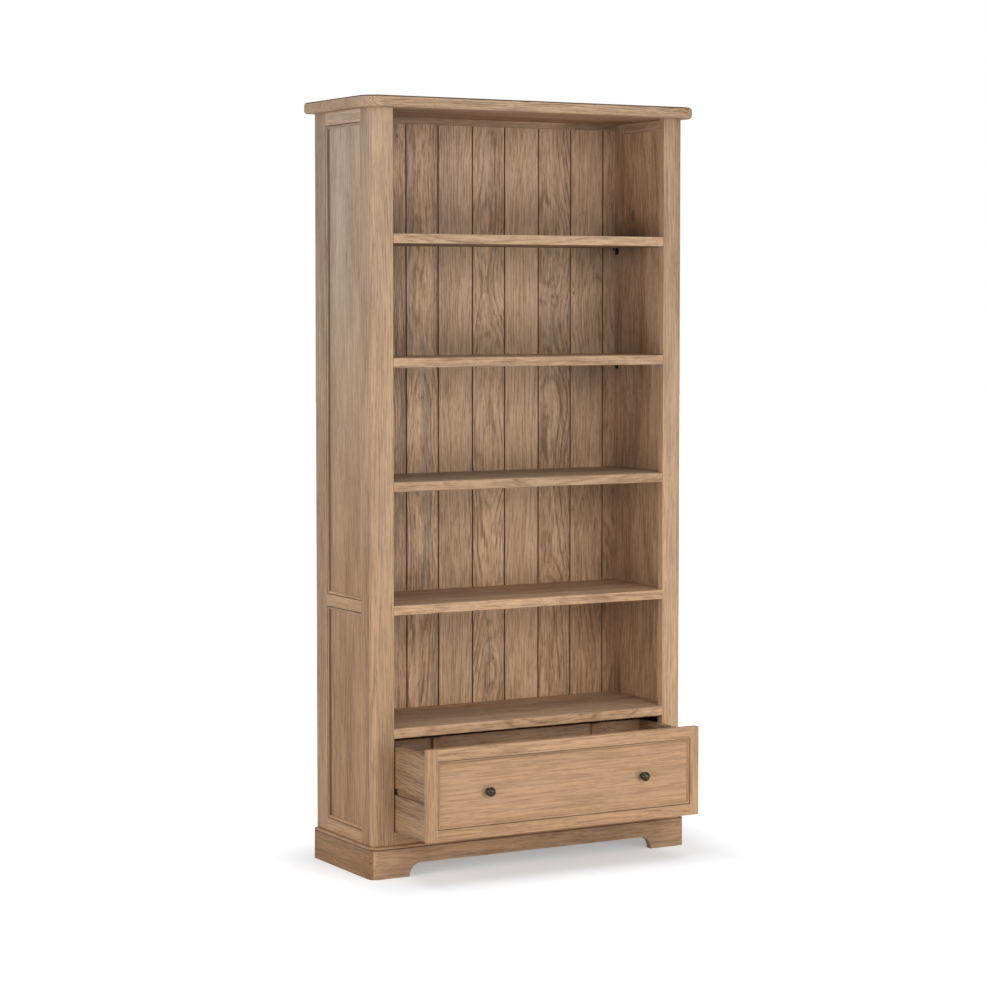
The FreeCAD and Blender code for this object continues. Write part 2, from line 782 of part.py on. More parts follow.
# Top, posts and sides
save("top_board", make_top_board())
save_pair("front_post", make_post())
for member, shape in make_side_members().items():
    save_pair("side_" + member, shape)
lower_opening, upper_opening = side_openings()
save_pair("side_lower_panel", make_side_panel(lower_opening))
save_pair("side_upper_panel", make_side_panel(upper_opening))
save_pair("side_beading", make_side_beading())
rail_z = (plinth_height, bottom_rail_top)
save("bottom_rail", block((-half_opening, half_opening), (0, post_thickness), rail_z))

# Back
joints = back_joints()
for number in range(1, len(joints)):
    left, right = joints[number - 1], joints[number]
    board = make_back_board(left, right, number > 1, number < len(joints) - 1)
    save("back_board_" + str(number), board)
cleat_y = (back_front - cleat_thickness, back_front)
save("back_top_cleat", block((-half_inside, half_inside), cleat_y, (case_top - cleat_height, case_top)))

# Shelves, counted from the top, and their pegs
for number in range(1, loose_shelf_count + 1):
    shelf_top = case_top - number * bay_pitch
    loose = make_shelf(shelf_top, shelf_gap, loose_shelf_clearance, loose_shelf_clearance)
    save("shelf_" + str(number), loose)
save("fixed_shelf", make_shelf(fixed_shelf_top, 0, 0, 0))
save("drawer_deck", make_shelf(deck_top, 0, 0, 0))
save("shelf_pegs", make_pegs())

# Drawer runners
save_pair("drawer_runner", make_runner())

# Drawer
for member, shape in make_drawer_front_members().items():
    save_open(member, shape)
save_open("drawer_front_panel", make_drawer_panel())
save_open("drawer_front_beading", make_drawer_beading())
drawer_side = make_drawer_side()
save_open("drawer_side_left", drawer_side)
save_open("drawer_side_right", mirrored(drawer_side))
save_open("drawer_bottom", make_drawer_bottom())
save_open("drawer_back", make_drawer_back())
save_open("drawer_back_battens", make_drawer_battens())
knob = make_knob()
save_open("knob_left", knob)
save_open("knob_right", mirrored(knob))
save_open("knob_screws", make_screws())
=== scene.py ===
# %% [markdown]
# # A tall oak bookcase
#
# This lesson dresses a finished cabinetmaker's model: every board is already cut to size in the packed
# frame, so Blender only adds what a maker would add last. That is the oak's figure and colour, the
# turned knobs, the bent shelf pegs, the mouldings stuck round the panels, and a studio to see it in.
#
# We start by loading the frame and keeping its box, from which the paper floor later measures its distance to
# the case.

import math
from functools import partial

import bmesh
import bpy
from mathutils import Matrix, Vector


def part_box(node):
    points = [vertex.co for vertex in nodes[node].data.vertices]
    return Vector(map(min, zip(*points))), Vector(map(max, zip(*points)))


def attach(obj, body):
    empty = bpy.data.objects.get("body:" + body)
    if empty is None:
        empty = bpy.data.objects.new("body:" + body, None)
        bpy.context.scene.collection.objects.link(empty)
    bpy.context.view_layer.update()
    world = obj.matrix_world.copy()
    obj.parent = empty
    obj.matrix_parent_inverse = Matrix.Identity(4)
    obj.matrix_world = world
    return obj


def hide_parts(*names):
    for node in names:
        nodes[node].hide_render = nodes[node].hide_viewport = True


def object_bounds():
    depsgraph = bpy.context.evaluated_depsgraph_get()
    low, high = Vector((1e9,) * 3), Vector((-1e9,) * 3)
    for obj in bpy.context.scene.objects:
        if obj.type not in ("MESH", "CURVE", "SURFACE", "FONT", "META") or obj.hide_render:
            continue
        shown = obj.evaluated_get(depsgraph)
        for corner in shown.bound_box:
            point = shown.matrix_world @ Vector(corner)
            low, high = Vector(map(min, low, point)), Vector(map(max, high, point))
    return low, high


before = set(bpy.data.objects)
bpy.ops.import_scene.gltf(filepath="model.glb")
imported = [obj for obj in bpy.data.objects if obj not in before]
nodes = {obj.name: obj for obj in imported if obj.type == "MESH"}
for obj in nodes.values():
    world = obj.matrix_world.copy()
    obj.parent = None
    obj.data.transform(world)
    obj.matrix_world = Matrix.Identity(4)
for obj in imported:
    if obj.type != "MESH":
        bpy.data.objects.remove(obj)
cad_low, cad_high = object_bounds()
MM = 0.001
print("boards in the frame:", len(nodes))

# %% [markdown]
# ## The camera
#
# A catalogue photograph of furniture is taken from far away with a long lens, so that the uprights stay
# upright. We could tilt the camera down at the bookcase, which makes them lean, or hold it level and
# shift the lens. We do a little of both: a small shift, which also suits other views, and a small tilt.

# %% Camera
PHOTO_SIDE = 988
FOCAL_PIXELS = 2728.12
SENSOR_WIDTH = 36.0
LENS_SHIFT = -0.04
CAMERA_PLACE = (-3.5874, -6.2439, 1.4793)
CAMERA_TILT = 3.205
CAMERA_TURN = -29.3283

camera_data = bpy.data.cameras.new("catalogue_camera")
camera_data.sensor_width = SENSOR_WIDTH
camera_data.lens = FOCAL_PIXELS / PHOTO_SIDE * SENSOR_WIDTH
camera_data.shift_y = LENS_SHIFT
camera_data.clip_end = 100
camera = bpy.data.objects.new("catalogue_camera", camera_data)
camera.location = CAMERA_PLACE
camera.rotation_euler = (math.radians(90 - CAMERA_TILT), 0, math.radians(CAMERA_TURN))
scene = bpy.context.scene
scene.collection.objects.link(camera)
bpy.context.scene.camera = camera
scene.view_settings.view_transform = "Standard"
print("lens in mm:", round(camera_data.lens, 1))

# %% [markdown]
# ## Shaders, written as sums
#
# A shader is a tree of small nodes. We could make, set and link every node in lines of its own. Instead
# a few short functions each make one node and return its output, so a shader reads like a sum.

# %% Node helpers
WHITE = (1, 1, 1, 1)


def add(tree, kind, inputs=(), **settings):
    """A node with its settings and inputs, each a value or another node's output."""
    node = tree.nodes.new(kind)
    for key, value in settings.items():
        setattr(node, key, value)
    for key, value in dict(inputs).items():
        if isinstance(value, bpy.types.NodeSocket):
            tree.links.new(value, node.inputs[key])
        else:
            node.inputs[key].default_value = value
    return node


def sum_of(tree, operation, *values, clamp=False):
    """One step of arithmetic on plain numbers or outputs."""
    return add(tree, "ShaderNodeMath", enumerate(values), operation=operation, use_clamp=clamp).outputs[0]


def vector_step(tree, operation, *values):
    """One step of arithmetic on vectors."""
    return add(tree, "ShaderNodeVectorMath", enumerate(values), operation=operation).outputs[0]


def length_of(tree, vector):
    """The length of a vector."""
    return add(tree, "ShaderNodeVectorMath", {0: vector}, operation="LENGTH").outputs["Value"]


def scaled(tree, vector, factor):
    """A vector times a number."""
    return add(tree, "ShaderNodeVectorMath", {0: vector, "Scale": factor}, operation="SCALE").outputs[0]


def parts_of(tree, vector):
    """A vector's three parts, named by their axes."""
    return add(tree, "ShaderNodeSeparateXYZ", {0: vector}).outputs


def soft_step(tree, value, low, high, out_low=0.0, out_high=1.0):
    """A smooth climb from one level to another while the value goes from low to high."""
    inputs = {"Value": value, "From Min": low, "From Max": high, "To Min": out_low, "To Max": out_high}
    return add(tree, "ShaderNodeMapRange", inputs, interpolation_type="SMOOTHSTEP").outputs[0]


def mix_of(tree, share, first, second):
    """Two colours mixed by a share."""
    node = add(tree, "ShaderNodeMix", data_type="RGBA")
    sockets = {s.identifier: s for s in node.inputs}
    for key, value in (("Factor_Float", share), ("A_Color", first), ("B_Color", second)):
        if isinstance(value, bpy.types.NodeSocket):
            tree.links.new(value, sockets[key])
        else:
            sockets[key].default_value = value
    return {s.identifier: s for s in node.outputs}["Result_Color"]


def grain_noise(tree, place, across, along, detail=2.0, roughness=0.5):
    """Noise drawn out along the grain: so many changes per metre across it and along it."""
    stretched = vector_step(tree, "MULTIPLY", place, (across, across, along))
    inputs = {"Vector": stretched, "Scale": 1.0, "Detail": detail, "Roughness": roughness}
    return add(tree, "ShaderNodeTexNoise", inputs)


def empty_material(name):
    """A new material and its tree, which holds no node yet."""
    material = bpy.data.materials.new(name)
    material.use_nodes = True
    material.node_tree.nodes.clear()
    return material, material.node_tree


print("helpers ready, white is", WHITE)

# %% [markdown]
# ## The studio
#
# The object stands on white paper in an even, soft light. One way is a bright white dome alone, but then
# every face has the same tone. We keep a dim dome and add large lamps instead: two in front, one of them
# low at the right so that its light reaches into the bays, two at the left, and one overhead for the paper.

# %% World and lamps
DOME_LIGHT = 0.22
LAMP_AIM = Vector((0, 0, 1.0))
# Each lamp: its name, place, width, height, power and colour
LAMPS = (
    ("front_softbox", (0, -5.8, 2.8), 2.2, 2.2, 99, (0.97, 0.99, 1.0)),
    ("right_low_softbox", (1.6, -3.6, 0.6), 1.6, 1.0, 38, (1.0, 0.96, 0.88)),
    ("left_high_softbox", (-5.0, -1.4, 2.9), 2.2, 2.4, 34, (0.92, 0.96, 1.0)),
    ("left_low_softbox", (-5.0, -1.6, 0.9), 2.2, 1.6, 87, (1.0, 1.0, 1.0)),
    ("overhead_softbox", (0, -0.6, 6.0), 5.0, 5.0, 132, (1.0, 1.0, 1.0)),
)
world = bpy.data.worlds.new("studio")
scene.world = world
world.use_nodes = True
world_tree = world.node_tree
world_tree.nodes.clear()


def white_where_seen(tree):
    """1 for rays that show a surface to the eye, straight, in a reflection or through glass."""
    path = add(tree, "ShaderNodeLightPath").outputs
    either = sum_of(tree, "MAXIMUM", path["Is Camera Ray"], path["Is Glossy Ray"])
    return sum_of(tree, "MAXIMUM", either, path["Is Transmission Ray"])


dome = add(world_tree, "ShaderNodeBackground", {"Color": WHITE, "Strength": DOME_LIGHT}).outputs[0]
paper_white = add(world_tree, "ShaderNodeBackground", {"Color": WHITE, "Strength": 1.0}).outputs[0]
choose = add(world_tree, "ShaderNodeMixShader", {0: white_where_seen(world_tree), 1: dome, 2: paper_white})
add(world_tree, "ShaderNodeOutputWorld", {"Surface": choose.outputs[0]})

for name, place, width, height, power, colour in LAMPS:
    softbox = bpy.data.lights.new(name, "AREA")
    softbox.shape = "RECTANGLE"
    softbox.size = width
    softbox.size_y = height
    softbox.energy = power
    softbox.color = colour
    lamp = bpy.data.objects.new(name, softbox)
    lamp.location = place
    lamp.rotation_euler = (LAMP_AIM - Vector(place)).to_track_quat("-Z", "Y").to_euler()
    scene.collection.objects.link(lamp)
print("lamps:", [row[0] for row in LAMPS])

# %% [markdown]
# ## The paper floor
#
# In the photograph the paper is pure white and only a soft grey shadow shows round the plinth. A plain
# white floor would come out a little grey, so part of its white is its own: the paper glows a little for
# rays that the eye sees, and the rest of its tone comes from the light, which is what keeps the shadow.
# The glow grows with the distance from the case, so only the shadow close to the plinth stays.

# %% Floor
FLOOR_REACH = 30.0
PAPER_COLOUR = (0.835, 0.856, 0.882, 1)
# How strongly the paper glows at the case and far from it, and over which distance that changes
GLOW = {"From Min": 0.0, "From Max": 0.5, "To Min": 0.36, "To Max": 1.0}
paper, paper_tree = empty_material("white_paper")
paper_place = add(paper_tree, "ShaderNodeTexCoord").outputs["Object"]
aside_of_case = vector_step(paper_tree, "SUBTRACT", paper_place, (cad_low + cad_high) / 2)
aside_of_case = vector_step(paper_tree, "ABSOLUTE", aside_of_case)
beyond_case = vector_step(paper_tree, "SUBTRACT", aside_of_case, (cad_high - cad_low) / 2)
case_distance = length_of(paper_tree, vector_step(paper_tree, "MAXIMUM", beyond_case, (0, 0, 0)))
glow_rise = add(paper_tree, "ShaderNodeMapRange", {"Value": case_distance, **GLOW}).outputs[0]
glow_level = sum_of(paper_tree, "MULTIPLY", white_where_seen(paper_tree), glow_rise)
lit = add(paper_tree, "ShaderNodeBsdfDiffuse", {"Color": PAPER_COLOUR}).outputs[0]
glow = add(paper_tree, "ShaderNodeEmission", {"Color": WHITE, "Strength": glow_level}).outputs[0]
both = add(paper_tree, "ShaderNodeAddShader", {0: lit, 1: glow}).outputs[0]
add(paper_tree, "ShaderNodeOutputMaterial", {"Surface": both})


def finished_piece(name, bm, materials):
    """A mesh object from a bmesh, its place in its mesh and its faces pointing outwards."""
    bmesh.ops.recalc_face_normals(bm, faces=bm.faces)
    mesh = bpy.data.meshes.new(name)
    bm.to_mesh(mesh)
    bm.free()
    for material in materials:
        mesh.materials.append(material)
    piece = bpy.data.objects.new(name, mesh)
    scene.collection.objects.link(piece)
    return piece


floor_bm = bmesh.new()
bmesh.ops.create_grid(floor_bm, x_segments=1, y_segments=1, size=FLOOR_REACH)
floor = finished_piece("paper_floor", floor_bm, [paper])
print("floor faces:", len(floor.data.polygons))

# %% [markdown]
# ## Oak, from the log outwards
#
# A board's figure is a cut through the rings of a log. Where the cut runs almost along the log, the
# rings show as the pointed arches that makers call cathedral figure. Where it points at the middle, they
# show as straight lines. So instead of painting lines, we compute the rings in space: the distance from
# the log's middle, made to wander with slow noise, divided by the width of one ring. Every board is then
# a cut through its own log, and its edges and ends match its faces, as they do on real oak.
#
# The node group takes a place in the log, with the grain along Z, and gives a colour, the open pores
# for the bump, and a roughness.

# %% The oak group
oak_group = bpy.data.node_groups.new("oak_log", "ShaderNodeTree")
for name, kind, value in (
    ("Place", "NodeSocketVector", None),
    ("Warmth", "NodeSocketFloat", 0.0),
    ("Grey", "NodeSocketFloat", 0.3),
    ("Tone", "NodeSocketFloat", 1.0),
    ("Rise", "NodeSocketFloat", 0.02),
    ("Ring width", "NodeSocketFloat", 0.007),
    ("Figure", "NodeSocketFloat", 0.5),
    ("Stain", "NodeSocketFloat", 0.5),
    ("Knot place", "NodeSocketVector", None),
    ("Knot size", "NodeSocketFloat", 0.0),
    ("Pale", "NodeSocketColor", None),
    ("Deep", "NodeSocketColor", None),
):
    socket = oak_group.interface.new_socket(name, in_out="INPUT", socket_type=kind)
    if value is not None:
        socket.default_value = value
for name, kind in (("Colour", "NodeSocketColor"), ("Pores", "NodeSocketFloat"), ("Rough", "NodeSocketFloat")):
    oak_group.interface.new_socket(name, in_out="OUTPUT", socket_type=kind)
oak_in = oak_group.nodes.new("NodeGroupInput").outputs
oak_add, oak_sum, oak_vector, oak_step, oak_mix, oak_noise, oak_parts, oak_length, oak_scaled = (
    partial(helper, oak_group) for helper in (
        add, sum_of, vector_step, soft_step, mix_of, grain_noise, parts_of, length_of, scaled))
print("oak group takes:", [s.name for s in oak_in if s.name])

# %% [markdown]
# The rings come first. Slow noise bends the log's middle, quicker noise makes each line tremble, and the
# rise is how steeply the saw ran out of the log. Near a knot the rings are pushed out of their way.

# %% Rings
NOISE_MIDDLE = (0.5, 0.5, 0.5)
# How far the log's middle wanders and each line trembles in metres, and a knot's stretch along the grain
WANDER = (0.075, 0.095, 0.0)
TREMBLE = (0.0025, 0.002, 0.0)
KNOT_STRETCH = (1.0, 0.8, 0.45)
log_place = oak_in["Place"]
slow_bend = oak_noise(log_place, 4.0, 2.0, detail=1.0)
slow_offset = oak_vector("SUBTRACT", slow_bend.outputs["Color"], NOISE_MIDDLE)
slow_shift = oak_vector("MULTIPLY", slow_offset, WANDER)
slow_shift = oak_scaled(slow_shift, oak_in["Figure"])
tremble = oak_noise(log_place, 55.0, 7.0, detail=1.0, roughness=0.5)
tremble_offset = oak_vector("SUBTRACT", tremble.outputs["Color"], NOISE_MIDDLE)
tremble_shift = oak_vector("MULTIPLY", tremble_offset, TREMBLE)
bent = oak_vector("ADD", oak_vector("ADD", log_place, slow_shift), tremble_shift)
bent_parts = oak_parts(bent)
run_out = oak_sum("MULTIPLY_ADD", bent_parts["Z"], oak_in["Rise"], bent_parts["Y"])
flat_place = oak_add("ShaderNodeCombineXYZ", {"X": bent_parts["X"], "Y": run_out}).outputs[0]
from_middle = oak_length(flat_place)

to_knot = oak_vector("SUBTRACT", log_place, oak_in["Knot place"])
to_knot = oak_vector("MULTIPLY", to_knot, KNOT_STRETCH)
knot_ratio = oak_sum("DIVIDE", oak_length(to_knot), oak_sum("MAXIMUM", oak_in["Knot size"], 0.0001))
knot_push = oak_step(knot_ratio, 0.0, 6.0, 1.0, 0.0)
knot_shift = oak_sum("MULTIPLY", knot_push, oak_sum("MULTIPLY", oak_in["Knot size"], 2.2))
ring_reach = oak_sum("ADD", from_middle, knot_shift)
ring_count = oak_sum("DIVIDE", ring_reach, oak_in["Ring width"])
in_ring = oak_sum("FRACT", ring_count)
ring_number = oak_sum("FLOOR", ring_count)
print("ring nodes so far:", len(oak_group.nodes))

# %% [markdown]
# Spring wood is full of open pores and dark, summer wood is dense and pale. Each ring therefore starts
# with a dark line that fades, and no two years are the same, so a random number per ring sets how
# strong its line is. Fine fibres, short pores and broad stains go on top. A board's figure sets how
# strong its rings, streaks and fibres are. A lively board gets a little back, so that it stays as pale.

# %% Colour, pores and roughness
GREY_TINT = (0.70, 0.76, 0.88)
# What full warmth takes away from red, green and blue
WARM_LOSS = (0, -0.16, -0.36)
spring_rise = oak_step(in_ring, 0.0, 0.07)
spring_fall = oak_step(in_ring, 0.14, 0.42, 1.0, 0.0)
spring = oak_sum("MULTIPLY", spring_rise, spring_fall)
year = oak_add("ShaderNodeTexWhiteNoise", {"W": ring_number}, noise_dimensions="1D").outputs["Value"]
year_strength = oak_sum("MULTIPLY_ADD", year, 0.60, 0.40)
patchy = oak_step(oak_noise(log_place, 16.0, 3.0).outputs[0], 0.3, 0.7, 0.35, 1.0)
off_centre = oak_sum("DIVIDE", oak_sum("ABSOLUTE", bent_parts["X"]), from_middle)
steepness = oak_step(off_centre, 0.0, 0.5, 0.40, 1.0)
year_strength = oak_sum("MULTIPLY", year_strength, steepness)
whole_line = oak_sum("MULTIPLY", oak_sum("MULTIPLY", spring, year_strength), patchy)
dashes = oak_step(oak_noise(bent, 260.0, 45.0, detail=1.0).outputs[0], 0.36, 0.56, 0.60, 1.0)
ring_line = oak_sum("MULTIPLY", whole_line, dashes)

growth_place = oak_add("ShaderNodeCombineXYZ", {"X": ring_reach, "Y": bent_parts["X"], "Z": bent_parts["Z"]})
growth_place = oak_vector("MULTIPLY", growth_place.outputs[0], (380.0, 40.0, 14.0))
growth = oak_add("ShaderNodeTexNoise", {"Vector": growth_place, "Scale": 1.0, "Detail": 2.0,
                                        "Roughness": 0.6}).outputs[0]
streak_dark = oak_step(growth, 0.42, 0.62)
fibres = oak_noise(bent, 235.0, 8.0, detail=2.0, roughness=0.65).outputs[0]
fibre_dark = oak_step(fibres, 0.45, 0.57)
pore_noise = oak_noise(bent, 240.0, 48.0, detail=1.0).outputs[0]
pore_spots = oak_step(pore_noise, 0.50, 0.62)
pore_where = oak_sum("MULTIPLY_ADD", ring_line, 0.6, 0.4)
pores = oak_sum("MULTIPLY", pore_spots, pore_where)
broad = oak_noise(log_place, 18.0, 2.4, detail=2.0).outputs[0]
stain = oak_step(broad, 0.35, 0.70)
knot_core = oak_step(knot_ratio, 0.35, 1.25, 1.0, 0.0)
knot_on = oak_sum("GREATER_THAN", oak_in["Knot size"], 0.0002)
knot_dark = oak_sum("MULTIPLY", knot_core, knot_on)

darkness = oak_sum("MULTIPLY", ring_line, oak_sum("MULTIPLY", oak_in["Figure"], 1.75))
liveliness = oak_sum("MULTIPLY_ADD", oak_in["Figure"], 0.95, 0.30)
fibre_share = oak_sum("MULTIPLY_ADD", oak_in["Figure"], 0.10, 0.29)
darkness = oak_sum("MULTIPLY_ADD", fibre_dark, fibre_share, darkness)
darkness = oak_sum("MULTIPLY_ADD", oak_in["Figure"], -0.08, darkness)
darkness = oak_sum("MULTIPLY_ADD", streak_dark, oak_sum("MULTIPLY", oak_in["Figure"], 0.35), darkness)
darkness = oak_sum("MULTIPLY_ADD", stain, oak_in["Stain"], darkness)
darkness = oak_sum("MULTIPLY_ADD", pores, oak_sum("MULTIPLY", liveliness, 0.45), darkness)
darkness = oak_sum("MULTIPLY_ADD", knot_dark, 1.2, darkness, clamp=True)
oak_colour = oak_mix(darkness, oak_in["Pale"], oak_in["Deep"])
mineral_place = oak_vector("ADD", log_place, (3, 5, 7))
mineral = oak_step(oak_noise(mineral_place, 36.0, 2.2).outputs[0], 0.44, 0.66)
mineral_share = oak_sum("MULTIPLY", mineral, oak_in["Grey"])
greyed = oak_vector("MULTIPLY", oak_colour, GREY_TINT)
mixed_colour = oak_mix(mineral_share, oak_colour, greyed)
warm_tint = oak_vector("ADD", oak_scaled(WARM_LOSS, oak_in["Warmth"]), (1, 1, 1))
mixed_colour = oak_vector("MULTIPLY", mixed_colour, warm_tint)
mixed_colour = oak_scaled(mixed_colour, oak_in["Tone"])
roughness = oak_sum("MULTIPLY_ADD", darkness, 0.16, 0.52)
oak_out = oak_group.nodes.new("NodeGroupOutput")
oak_group.links.new(mixed_colour, oak_out.inputs["Colour"])
oak_group.links.new(oak_sum("MULTIPLY_ADD", fibre_dark, 0.3, pores), oak_out.inputs["Pores"])
oak_group.links.new(roughness, oak_out.inputs["Rough"])
print("nodes in the oak group:", len(oak_group.nodes))

# %% [markdown]
# ## One log for each board
#
# Every board gets its own material, because every board comes from its own log. What differs is the way
# its grain runs, how far its face is from the log's middle, how steeply it was sawn, how wide its rings
# are, and how dark the stain took. A turn of the coordinates brings the grain to the log's Z.

# %% Oak materials
GRAIN_TURNS = {
    "up": (0, 0, 0),
    "sideways": (0, math.radians(-90), 0),
    "deep": (math.radians(90), 0, 0),
}
PALE_OAK = (0.600, 0.402, 0.257, 1)
DEEP_OAK = (0.235, 0.140, 0.080, 1)
STAIN_AND_SHADE_BROWN = (0.130, 0.046, 0.014, 1)
ARRIS_SHADE_COLOUR = (0.020, 0.011, 0.006, 1)
CORNER_MARK_TINT = (0.34, 0.38, 0.44)
SHADE_HEIGHT = 2.1
OAK_GLOSS = 0.35
# A level further away than anything in the scene, for a step that has only one end
FAR = 9.0


def turn_of(grain):
    """The turn that brings a grain direction to the log's Z."""
    return Matrix.Rotation(GRAIN_TURNS[grain][1], 3, "Y") @ Matrix.Rotation(GRAIN_TURNS[grain][0], 3, "X")


def stain_and_shade_by_edges(tree, coordinates, colour, axis, low_edge, high_edge, full=0.9, end=2.6):
    """Painted shade in grooves and under overhangs, with the dark line of a joint: the colour deepens in the
    last millimetres before two edges.
    """
    across = parts_of(tree, coordinates)[axis]
    from_low = sum_of(tree, "SUBTRACT", across, low_edge)
    from_high = sum_of(tree, "SUBTRACT", high_edge, across)
    nearest = sum_of(tree, "MINIMUM", from_low, from_high)
    groove = soft_step(tree, nearest, full * MM, end * MM, 0.80, 0.0)
    return mix_of(tree, groove, colour, STAIN_AND_SHADE_BROWN)


def painted_shade_by_moulding(tree, coordinates, colour, face_x, edge_y):
    """Painted shade on a panel's outer face, in the last millimetres before its rear moulding."""
    parts = parts_of(tree, coordinates)
    from_face = sum_of(tree, "ABSOLUTE", sum_of(tree, "SUBTRACT", parts["X"], face_x))
    by_face = soft_step(tree, from_face, 0.5 * MM, 1.5 * MM, 0.8, 0.0)
    by_edge = soft_step(tree, sum_of(tree, "SUBTRACT", edge_y, parts["Y"]), 5.0 * MM, 7.5 * MM, 1.0, 0.0)
    return mix_of(tree, sum_of(tree, "MULTIPLY", by_face, by_edge), colour, STAIN_AND_SHADE_BROWN)


def painted_shade_below(tree, coordinates, colour, level, share):
    """Painted shade on an underside, where little light reaches: it is darker than the rest of its board."""
    height = parts_of(tree, coordinates)["Z"]
    under = soft_step(tree, height, level + 0.2 * MM, level + 1.2 * MM, 1.0, 0.0)
    shaded_colour = vector_step(tree, "MULTIPLY", colour, (share, share * 0.90, share * 0.86))
    return mix_of(tree, under, colour, shaded_colour)


def warmer_in_front(tree, coordinates, colour, front):
    """Gives a front edge a warmer colour than the board's top."""
    depth = parts_of(tree, coordinates)["Y"]
    edge = soft_step(tree, depth, front + 0.3 * MM, front + 1.5 * MM, 1.0, 0.0)
    return mix_of(tree, edge, colour, vector_step(tree, "MULTIPLY", colour, (1.0, 0.93, 0.83)))


def painted_shade_on_arris(tree, coordinates, colour, middle, half, radius):
    """Painted shade on the upper arris of a top with round corners, where its round turns from the light: a
    narrow band, just under its face.
    """
    low_half = Vector((half.x - radius, half.y - radius, half.z))
    aside = vector_step(tree, "ABSOLUTE", vector_step(tree, "SUBTRACT", coordinates, middle))
    beyond = vector_step(tree, "MAXIMUM", vector_step(tree, "SUBTRACT", aside, low_half), (0, 0, 0))
    reach = length_of(tree, vector_step(tree, "MULTIPLY", beyond, (1, 1, 0)))
    by_outline = soft_step(tree, reach, radius - 5.8 * MM, radius - 4.0 * MM)
    top = middle.z + half.z
    by_top = soft_step(tree, parts_of(tree, coordinates)["Z"], top - 4.4 * MM, top - 3.2 * MM)
    share = sum_of(tree, "MULTIPLY", sum_of(tree, "MULTIPLY", by_outline, by_top), 0.88)
    return mix_of(tree, share, colour, ARRIS_SHADE_COLOUR)


def grey_mark(tree, coordinates, colour, middle, reach, limit=FAR):
    """A dark grey mark that fades out from a middle and ends at a place along X."""
    away = vector_step(tree, "DIVIDE", vector_step(tree, "SUBTRACT", coordinates, middle), reach)
    mark = soft_step(tree, length_of(tree, away), 0.1, 1.0, 0.9, 0.0)
    across = parts_of(tree, coordinates)["X"]
    mark = sum_of(tree, "MULTIPLY", mark, soft_step(tree, across, limit, limit + 2 * MM, 1.0, 0.0))
    return mix_of(tree, mark, colour, vector_step(tree, "MULTIPLY", colour, CORNER_MARK_TINT))


def oak(name, grain, middle, rise=0.02, ring=7.0, figure=0.5, stain=0.35, shade=(1.0, 1.0),
        warmth=(0.4, 0.0), grey=0.3, knot=None, shade_and_marks=(), gloss=OAK_GLOSS):
    """Oak with its grain along an axis, cut from a log whose middle lies at a place beside the board.

    Shade and warmth each have two values, for the floor and for the top of the case. They are painted light: a
    board grows lighter or darker and warmer or cooler with height, as the lamps light it. Shade_and_marks is a
    list of steps with their values, applied to the colour: painted shade and a few marks.
    """
    material, tree = empty_material(name)
    coordinates = add(tree, "ShaderNodeTexCoord").outputs["Object"]
    turn = {"Vector": coordinates, "Rotation": GRAIN_TURNS[grain], "Location": middle}
    height = parts_of(tree, coordinates)["Z"]
    log = {
        "Place": add(tree, "ShaderNodeMapping", turn).outputs[0],
        "Warmth": soft_step(tree, height, 0.0, SHADE_HEIGHT, *warmth),
        "Tone": soft_step(tree, height, 0.0, SHADE_HEIGHT, *shade),
        "Grey": grey, "Rise": rise, "Ring width": ring * MM, "Figure": figure, "Stain": stain,
        "Pale": PALE_OAK, "Deep": DEEP_OAK,
    }
    if knot:
        log["Knot place"] = turn_of(grain) @ Vector(knot[:3]) + Vector(middle)
        log["Knot size"] = knot[3] * MM
    wood = add(tree, "ShaderNodeGroup", log, node_tree=oak_group)
    colour = wood.outputs["Colour"]
    for step, *values in shade_and_marks:
        colour = step(tree, coordinates, colour, *values)
    bump = add(tree, "ShaderNodeBump", {"Height": wood.outputs["Pores"], "Strength": 0.25,
                                        "Distance": 0.0004}, invert=True)
    surface = add(tree, "ShaderNodeBsdfPrincipled", {
        "Base Color": colour, "Roughness": wood.outputs["Rough"], "Normal": bump.outputs[0],
        "Specular IOR Level": gloss})
    add(tree, "ShaderNodeOutputMaterial", {"Surface": surface.outputs[0]})
    return material


def dress(node, material):
    """Gives a board of the frame its own oak."""
    nodes[node].data.materials.clear()
    nodes[node].data.materials.append(material)


def at_log(node, grain, aside, behind, along=0.0):
    """Where a log's middle lies for a board: aside of the board's middle and behind its face, in metres."""
    low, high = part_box(node)
    centre = (low + high) / 2
    there = turn_of(grain) @ centre
    return (aside - there.x, behind - there.y, along - there.z)


print("oak is ready, turns:", sorted(GRAIN_TURNS))

# %% [markdown]
# The back is what shows most in the bays: ten boards, each flat-sawn with its own arches. We pick the
# logs in a table, so that dark and pale boards alternate the way a maker lays them out.

